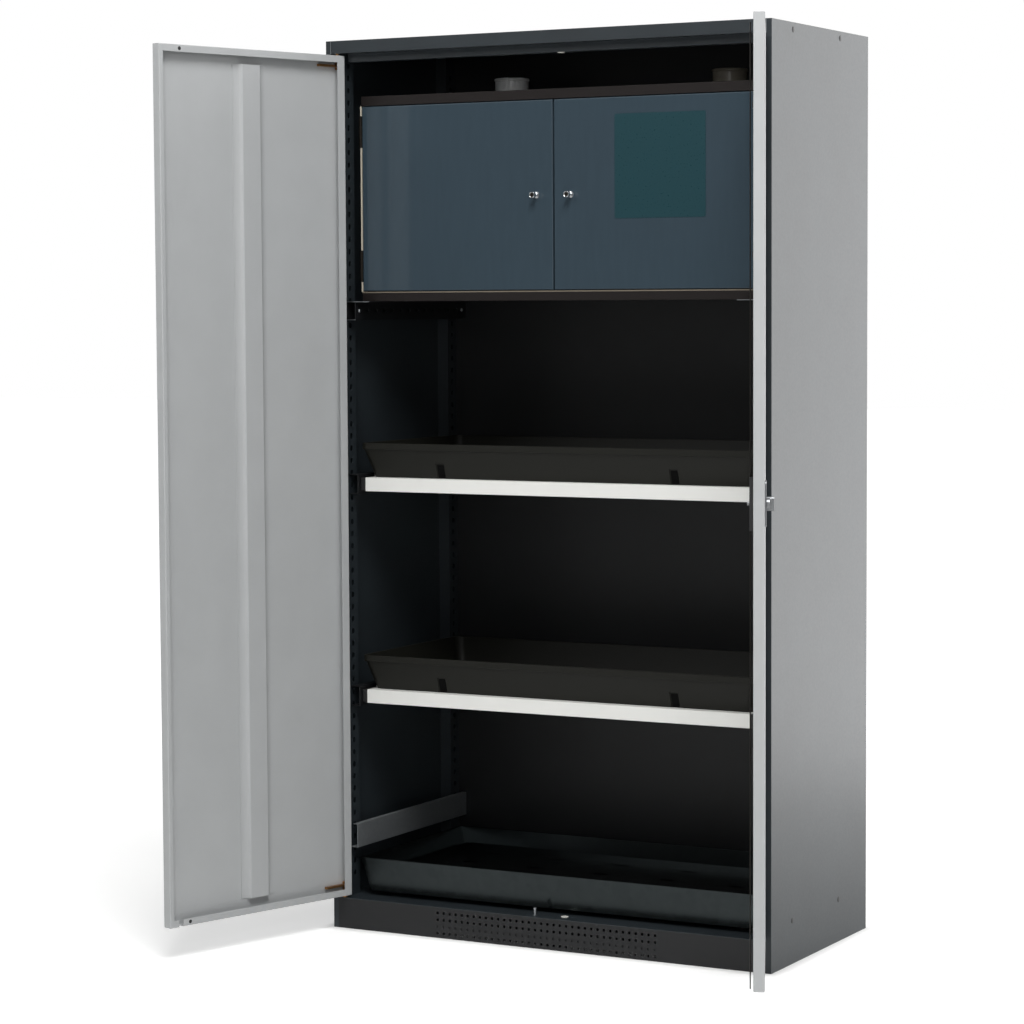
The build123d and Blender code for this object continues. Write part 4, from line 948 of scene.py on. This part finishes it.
class CABINET_OT_box_knobs(bpy.types.Operator):
    """Turned knobs of the safety box"""
    bl_idname = "cabinet.box_knobs"
    bl_label = "Box knobs"

    def execute(self, context):
        sizes = context.scene.cabinet_sizes
        head, neck = sizes.knob / 2, sizes.knob_neck / 2
        for side in ("left", "right"):
            node = f"box_{side}_knob"
            low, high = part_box(node)
            reach = high.y - low.y
            core, cup = head * 0.6, reach * 0.85
            # (radius, height) points: a foot in millimetres, then the neck and the cupped head as shares.
            profile = [(0, 0), (head, 0), (head, 1.2 * MM), (head - 0.8 * MM, 2 * MM), (neck, 2.4 * MM),
                       (neck * 0.9, reach * 0.3), (neck, reach * 0.45), (head * 0.9, reach * 0.52),
                       (head, reach * 0.6), (head, reach * 0.85), (head * 0.95, reach * 0.96),
                       (head * 0.82, reach), (head * 0.72, reach * 0.98), (core, cup), (0, cup)]
            core_profile = [(0, cup), (core, cup), (core, cup + 1.2 * MM), (core * 0.8, cup + 1.6 * MM),
                            (0, cup + 1.6 * MM)]
            middle = (low + high) / 2
            for points, look, name in ((profile, "chrome", "turned_knob"),
                                       (core_profile, "black zinc", "knob_core")):
                bm = spun(points)
                move(bm, to_front(middle.x, high.y, middle.z))
                nodes = (node,) if look == "chrome" else ()
                make_piece(f"box_{side}_{name}", bm, look, node_body(node), "lock_chrome", *nodes)
        return {"FINISHED"}


class CABINET_OT_spigots(bpy.types.Operator):
    """Duct spigots on the roof of the safety box"""
    bl_idname = "cabinet.spigots"
    bl_label = "Duct spigots"

    def execute(self, context):
        sizes = context.scene.cabinet_sizes
        outer = sizes.spigot / 2
        bore = outer - sizes.spigot_wall
        # The two spigots are one plastic in a lit and a shaded colour: painted light and painted shade.
        for side, look in (("left", "grey pvc"), ("right", "dark pvc")):
            node = f"{side}_spigot"
            low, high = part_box(node)
            flange = (high.x - low.x) / 2
            height = high.z - low.z
            bead = 2 * MM
            # (radius, height) points in millimetres: a flange, the pipe and a bead under its mouth.
            profile = [(bore, 0), (flange - 1 * MM, 0), (flange, 0.6 * MM), (flange - 1 * MM, 2 * MM),
                       (outer + 1.5 * MM, 2.2 * MM), (outer, 4 * MM), (outer, height - 7 * MM),
                       (outer + bead, height - 5 * MM), (outer + bead, height - 2.5 * MM),
                       (outer + bead * 0.4, height - 0.4 * MM), (outer - 0.6 * MM, height),
                       (bore, height - 1 * MM), (bore, 0)]
            bm = spun(profile, 2 * ROUND_STEPS)
            middle = (low + high) / 2
            bmesh.ops.translate(bm, vec=(middle.x, middle.y, low.z), verts=bm.verts)
            make_piece(f"{side}_duct_spigot", bm, look, "carcass", "spigot_plastic", node)
        return {"FINISHED"}


class CABINET_OT_tubs(bpy.types.Operator):
    """Moulded tubs with a rim, round corners and clip pockets"""
    bl_idname = "cabinet.tubs"
    bl_label = "Tray tubs"

    def execute(self, context):
        sizes = context.scene.cabinet_sizes
        for name in ("upper", "lower"):
            node = f"{name}_tub"
            low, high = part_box(node)
            bm, wall_low, base_low = basin(low, high, sizes.tub_rim, sizes.tub_rim_height,
                                           (sizes.tub_side_draft, sizes.tub_front_draft), sizes.tub_wall,
                                           sizes.tub_corner, lambda bm: self.cut_pockets(bm, sizes, low))
            round_edges(bm, sharp_edges(bm), sizes.board_edge, segments=3)
            make_piece(f"{name}_moulded_tub", bm, "black polyethylene", node_body(node), "tub_polymer", node)
            rise = high.z - sizes.tub_rim_height - low.z
            self.tongues(sizes, name, low, wall_low, base_low, rise)
        return {"FINISHED"}

    def tongues(self, sizes, name, low, wall_low, base_low, rise):
        """Dead black plates in the front pockets, and along the leaning sides behind the frame's prongs:
        painted shade in these recesses.
        """
        front = Vector((0.0, wall_low[1] - base_low[1], rise)).normalized()
        side = Vector((base_low[0] - wall_low[0], 0.0, rise)).normalized()
        sunk = sizes.tongue - sizes.tongue_proud
        bm = bmesh.new()
        for sign in (-1, 1):
            foot = (sign * sizes.pocket_from_middle, base_low[1] + sizes.pocket_depth, low.z)
            self.tongue(bm, sizes, axes((1, 0, 0), front, (0, -front.z, front.y), foot))
            up, out = Vector((sign * side.x, 0, side.z)), Vector((sign * side.z, 0, -side.x))
            for distance in (sizes.front_clip, sizes.rear_clip):
                foot = Vector((-sign * base_low[0], low.y + distance, low.z)) - sunk * out
                self.tongue(bm, sizes, axes((0, sign, 0), up, out, foot))
        make_piece(f"{name}_clip_tongues", bm, "black rubber", node_body(f"{name}_tub"), "tub_polymer")

    def tongue(self, bm, sizes, place):
        """Adds one dead black plate of painted shade, standing on the foot of a wall."""
        half = sizes.pocket_width / 2 - sizes.tongue_gap
        top = sizes.pocket_height - sizes.tongue_gap
        plate = flat_plate((-half, sizes.tongue_gap), (half, top), sizes.tongue_gap, sizes.tongue)
        join(bm, plate, place)

    def cut_pockets(self, bm, sizes, low):
        """Two clip pockets in the front wall, open at its foot."""
        walls = [face for face in bm.faces if abs(face.normal.z) < WALL_RISE]
        front = min(walls, key=lambda face: face.calc_center_median().y)
        half = sizes.pocket_width / 2
        places = [side * sizes.pocket_from_middle + edge for side in (-1, 1) for edge in (-half, half)]
        geom = [front] + list(front.edges) + list(front.verts)
        for x in places:
            geom = bmesh.ops.bisect_plane(bm, geom=geom, plane_co=(x, 0, 0), plane_no=(1, 0, 0))["geom"]
        top = low.z + sizes.pocket_height
        geom = bmesh.ops.bisect_plane(bm, geom=geom, plane_co=(0, 0, top), plane_no=(0, 0, 1))["geom"]
        for face in [item for item in geom if isinstance(item, bmesh.types.BMFace)]:
            middle = face.calc_center_median()
            if abs(abs(middle.x) - sizes.pocket_from_middle) < half and middle.z < top:
                sink(bm, [face], (0, sizes.pocket_depth, 0))


class CABINET_OT_tray_runners(bpy.types.Operator):
    """Tray frames, telescopic slides, end caps and carriers"""
    bl_idname = "cabinet.tray_runners"
    bl_label = "Tray frames and slides"

    def execute(self, context):
        sizes = context.scene.cabinet_sizes
        for name in ("upper", "lower"):
            for node, piece, look, slot in (
                    ("tray_frame", "tray_platform", "white powder coat", "tray_paint"),
                    ("end_caps", "slide_caps", "black nylon", "end_cap_plastic"),
                    ("carriers", "slide_carriers", "black powder coat", "carcass_paint")):
                softened(f"{name}_{node}", f"{name}_{piece}", look, slot, sizes.edge)
            dress("black zinc", f"{name}_inner_slides", f"{name}_middle_slides", f"{name}_outer_slides")
            self.rivets(sizes, name)
        return {"FINISHED"}

    def rivets(self, sizes, name):
        """Bright rivet heads and stop tabs along the webs of the inner slide members."""
        node = f"{name}_inner_slides"
        low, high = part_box(node)
        web = min(v.co.x for v in frame["nodes"][node].data.vertices if v.co.x > 0) + sizes.slide_sheet
        proud = sizes.rivet_proud
        tab = sizes.tab_width / 2, sizes.tab_height / 2
        bm = bmesh.new()
        for side in (-1, 1):
            for distance, is_tab in SLIDE_MARKS:
                if is_tab:
                    mark = flat_plate((-tab[0], -tab[1]), tab, 0.0, proud)
                else:
                    mark = turned(HEAD_DOME, sizes.rivet / 2, proud, DISC_STEPS)
                place = (side * web, low.y + distance, (low.z + high.z) / 2)
                join(bm, mark, to_side(side, place))
        make_piece(f"{name}_slide_rivets", bm, "zinc plate", node_body(node), "slide_steel")


class CABINET_OT_sump(bpy.types.Operator):
    """Sump with its turned edge, the standing plate and the side rails"""
    bl_idname = "cabinet.sump"
    bl_label = "Sump"

    def execute(self, context):
        sizes = context.scene.cabinet_sizes
        low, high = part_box("sump")
        bm = basin(low, high, sizes.sump_edge, sizes.sheet, (sizes.sump_side_draft, sizes.sump_front_draft),
                   sizes.sheet)[0]
        round_edges(bm, sharp_edges(bm), sizes.edge)
        make_piece("folded_sump", bm, "galvanised steel", "carcass", "galvanised_sheet", "sump")
        softened("sump_side_rails", "galvanised_side_rails", "matt zinc", "galvanised_sheet", sizes.edge)
        dress("galvanised steel", "sump_stand")
        return {"FINISHED"}


class CABINET_OT_stage(bpy.types.Operator):
    """Pale floor, soft studio light and the camera"""
    bl_idname = "cabinet.stage"
    bl_label = "Studio stage"

    def execute(self, context):
        self.floor()
        self.world()
        for lamp in LAMPS:
            self.light(*lamp)
        self.camera()
        return {"FINISHED"}

    def ray_kinds(self, tree):
        """Which rays come from the camera, and which from a reflection or through glass."""
        path = add_node(tree, "ShaderNodeLightPath")
        mirrored = add_node(tree, "ShaderNodeMath",
                            links={0: path.outputs["Is Glossy Ray"], 1: path.outputs["Is Transmission Ray"]},
                            operation="MAXIMUM")
        return path.outputs["Is Camera Ray"], mirrored

    def floor(self):
        """White paper that keeps the shadow: it glows to the camera, but not under the cabinet."""
        bm = bmesh.new()
        bmesh.ops.create_grid(bm, x_segments=1, y_segments=1, size=FLOOR_HALF)
        mesh = bpy.data.meshes.new("studio_floor")
        bm.to_mesh(mesh)
        bm.free()
        material, tree, shader, place = new_material("white paper")
        paper = add_node(tree, "ShaderNodeTexNoise", {"Scale": PAPER_PATCHES}, {"Vector": place})
        tint = add_node(tree, "ShaderNodeValToRGB", links={"Fac": paper})
        for element, code in zip(tint.color_ramp.elements, PAPER):
            element.color = rgba(linear(code))
        away = add_node(tree, "ShaderNodeVectorMath", links={0: place}, operation="LENGTH")
        white = add_node(tree, "ShaderNodeMapRange",
                         {"From Min": GLOW_START, "From Max": GLOW_END, "To Min": NEAR_GLOW,
                          "To Max": FAR_GLOW}, {"Value": away.outputs["Value"]},
                         interpolation_type="SMOOTHSTEP")
        side = add_node(tree, "ShaderNodeVectorMath", links={0: place}, operation="ABSOLUTE")
        past = add_node(tree, "ShaderNodeVectorMath", {1: FOOTPRINT}, {0: side}, operation="SUBTRACT")
        reach = add_node(tree, "ShaderNodeSeparateXYZ", links={0: past})
        outside = add_node(tree, "ShaderNodeMath", links={0: reach.outputs["X"], 1: reach.outputs["Y"]},
                           operation="MAXIMUM")
        clear = add_node(tree, "ShaderNodeMapRange", {"From Max": FOOTPRINT_BLEND}, {"Value": outside})
        open_white = add_node(tree, "ShaderNodeMath", links={0: white, 1: clear}, operation="MULTIPLY")
        parts = add_node(tree, "ShaderNodeSeparateXYZ", links={0: place})
        behind = add_node(tree, "ShaderNodeMapRange", {"From Max": GLOW_END, "To Max": FAR_GLOW},
                          {"Value": parts.outputs["Y"]}, interpolation_type="SMOOTHSTEP")
        camera, mirrored = self.ray_kinds(tree)
        reflected = add_node(tree, "ShaderNodeMath", links={0: behind, 1: mirrored}, operation="MULTIPLY")
        glow = add_node(tree, "ShaderNodeMath", links={0: open_white, 1: camera, 2: reflected},
                        operation="MULTIPLY_ADD")
        feed(tree, tint, shader, "Base Color")
        feed(tree, glow, shader, "Emission Strength")
        shader.inputs["Emission Color"].default_value = WHITE
        shader.inputs["Roughness"].default_value = PAPER_ROUGHNESS
        mesh.materials.append(material)
        floor = bpy.data.objects.new("studio_floor", mesh)
        bpy.context.scene.collection.objects.link(floor)

    def world(self):
        """White to the camera; to reflections white behind the cabinet and dim in front of it."""
        world = bpy.data.worlds.new("studio")
        bpy.context.scene.world = world
        world.use_nodes = True
        tree = world.node_tree
        tree.nodes.clear()
        way = add_node(tree, "ShaderNodeTexCoord")
        parts = add_node(tree, "ShaderNodeSeparateXYZ", links={0: way.outputs["Generated"]})
        studio = add_node(tree, "ShaderNodeMapRange",
                          {"From Min": MIRROR_TURN[0], "From Max": MIRROR_TURN[1], "To Min": MIRROR_FRONT,
                           "To Max": MIRROR_BACK}, {"Value": parts.outputs["Y"]},
                          interpolation_type="SMOOTHSTEP")
        white = add_node(tree, "ShaderNodeBackground", {"Color": WHITE, "Strength": 1.0})
        reflected = add_node(tree, "ShaderNodeBackground", {"Color": WHITE}, {"Strength": studio})
        soft = add_node(tree, "ShaderNodeBackground", {"Color": WHITE, "Strength": SOFT_LIGHT})
        camera, mirrored = self.ray_kinds(tree)
        unseen = add_node(tree, "ShaderNodeMixShader", links={0: mirrored, 1: soft, 2: reflected})
        mix = add_node(tree, "ShaderNodeMixShader", links={0: camera, 1: unseen, 2: white})
        add_node(tree, "ShaderNodeOutputWorld", links={"Surface": mix})

    def light(self, name, place, target, width, height, watts):
        """A soft box that the camera doesn't see."""
        data = bpy.data.lights.new(name, "AREA")
        data.shape = "RECTANGLE"
        data.size, data.size_y = width, height
        data.energy = watts
        light = bpy.data.objects.new(name, data)
        bpy.context.scene.collection.objects.link(light)
        light.location = place
        light.rotation_euler = (Vector(target) - Vector(place)).to_track_quat("-Z", "Y").to_euler()
        light.visible_camera = False

    def camera(self):
        """The camera at the photograph's viewing angle."""
        turn = Matrix.Identity(3)
        for axis, angle in CAMERA_TURN:
            turn = turn @ Matrix.Rotation(angle, 3, axis)
        right, forward, up = turn
        data = bpy.data.cameras.new("camera")
        data.sensor_width = SENSOR
        data.lens = SENSOR * FOCAL_TO_WIDTH
        data.clip_end = CLIP_END
        camera = bpy.data.objects.new("camera", data)
        bpy.context.scene.collection.objects.link(camera)
        camera.matrix_world = axes(right, up, -forward, CAMERA_PLACE)
        bpy.context.scene.camera = camera
        bpy.context.scene.view_settings.view_transform = "Standard"


class CABINET_PT_panel(bpy.types.Panel):
    """Lists the cabinet's operators in the sidebar"""
    bl_idname = "CABINET_PT_panel"
    bl_label = "Chemical storage cabinet"
    bl_space_type = "VIEW_3D"
    bl_region_type = "UI"
    bl_category = "Cabinet"

    def draw(self, context):
        for operator in OPERATORS:
            self.layout.operator(operator.bl_idname)


OPERATORS = (CABINET_OT_carcass, CABINET_OT_plinth, CABINET_OT_uprights, CABINET_OT_side_caps,
             CABINET_OT_doors, CABINET_OT_lock, CABINET_OT_safety_box, CABINET_OT_box_knobs,
             CABINET_OT_spigots, CABINET_OT_tubs, CABINET_OT_tray_runners, CABINET_OT_sump, CABINET_OT_stage)
CLASSES = (CabinetSizes, CabinetColours, *OPERATORS, CABINET_PT_panel)


def register():
    for cls in CLASSES:
        bpy.utils.register_class(cls)
    bpy.types.Scene.cabinet_sizes = PointerProperty(type=CabinetSizes)
    bpy.types.Scene.cabinet_colours = PointerProperty(type=CabinetColours)


def unregister():
    del bpy.types.Scene.cabinet_colours
    del bpy.types.Scene.cabinet_sizes
    for cls in reversed(CLASSES):
        bpy.utils.unregister_class(cls)


def main():
    register()
    for operator in OPERATORS:
        group, name = operator.bl_idname.split(".")
        getattr(getattr(bpy.ops, group), name)()


if __name__ == "__main__":
    main()
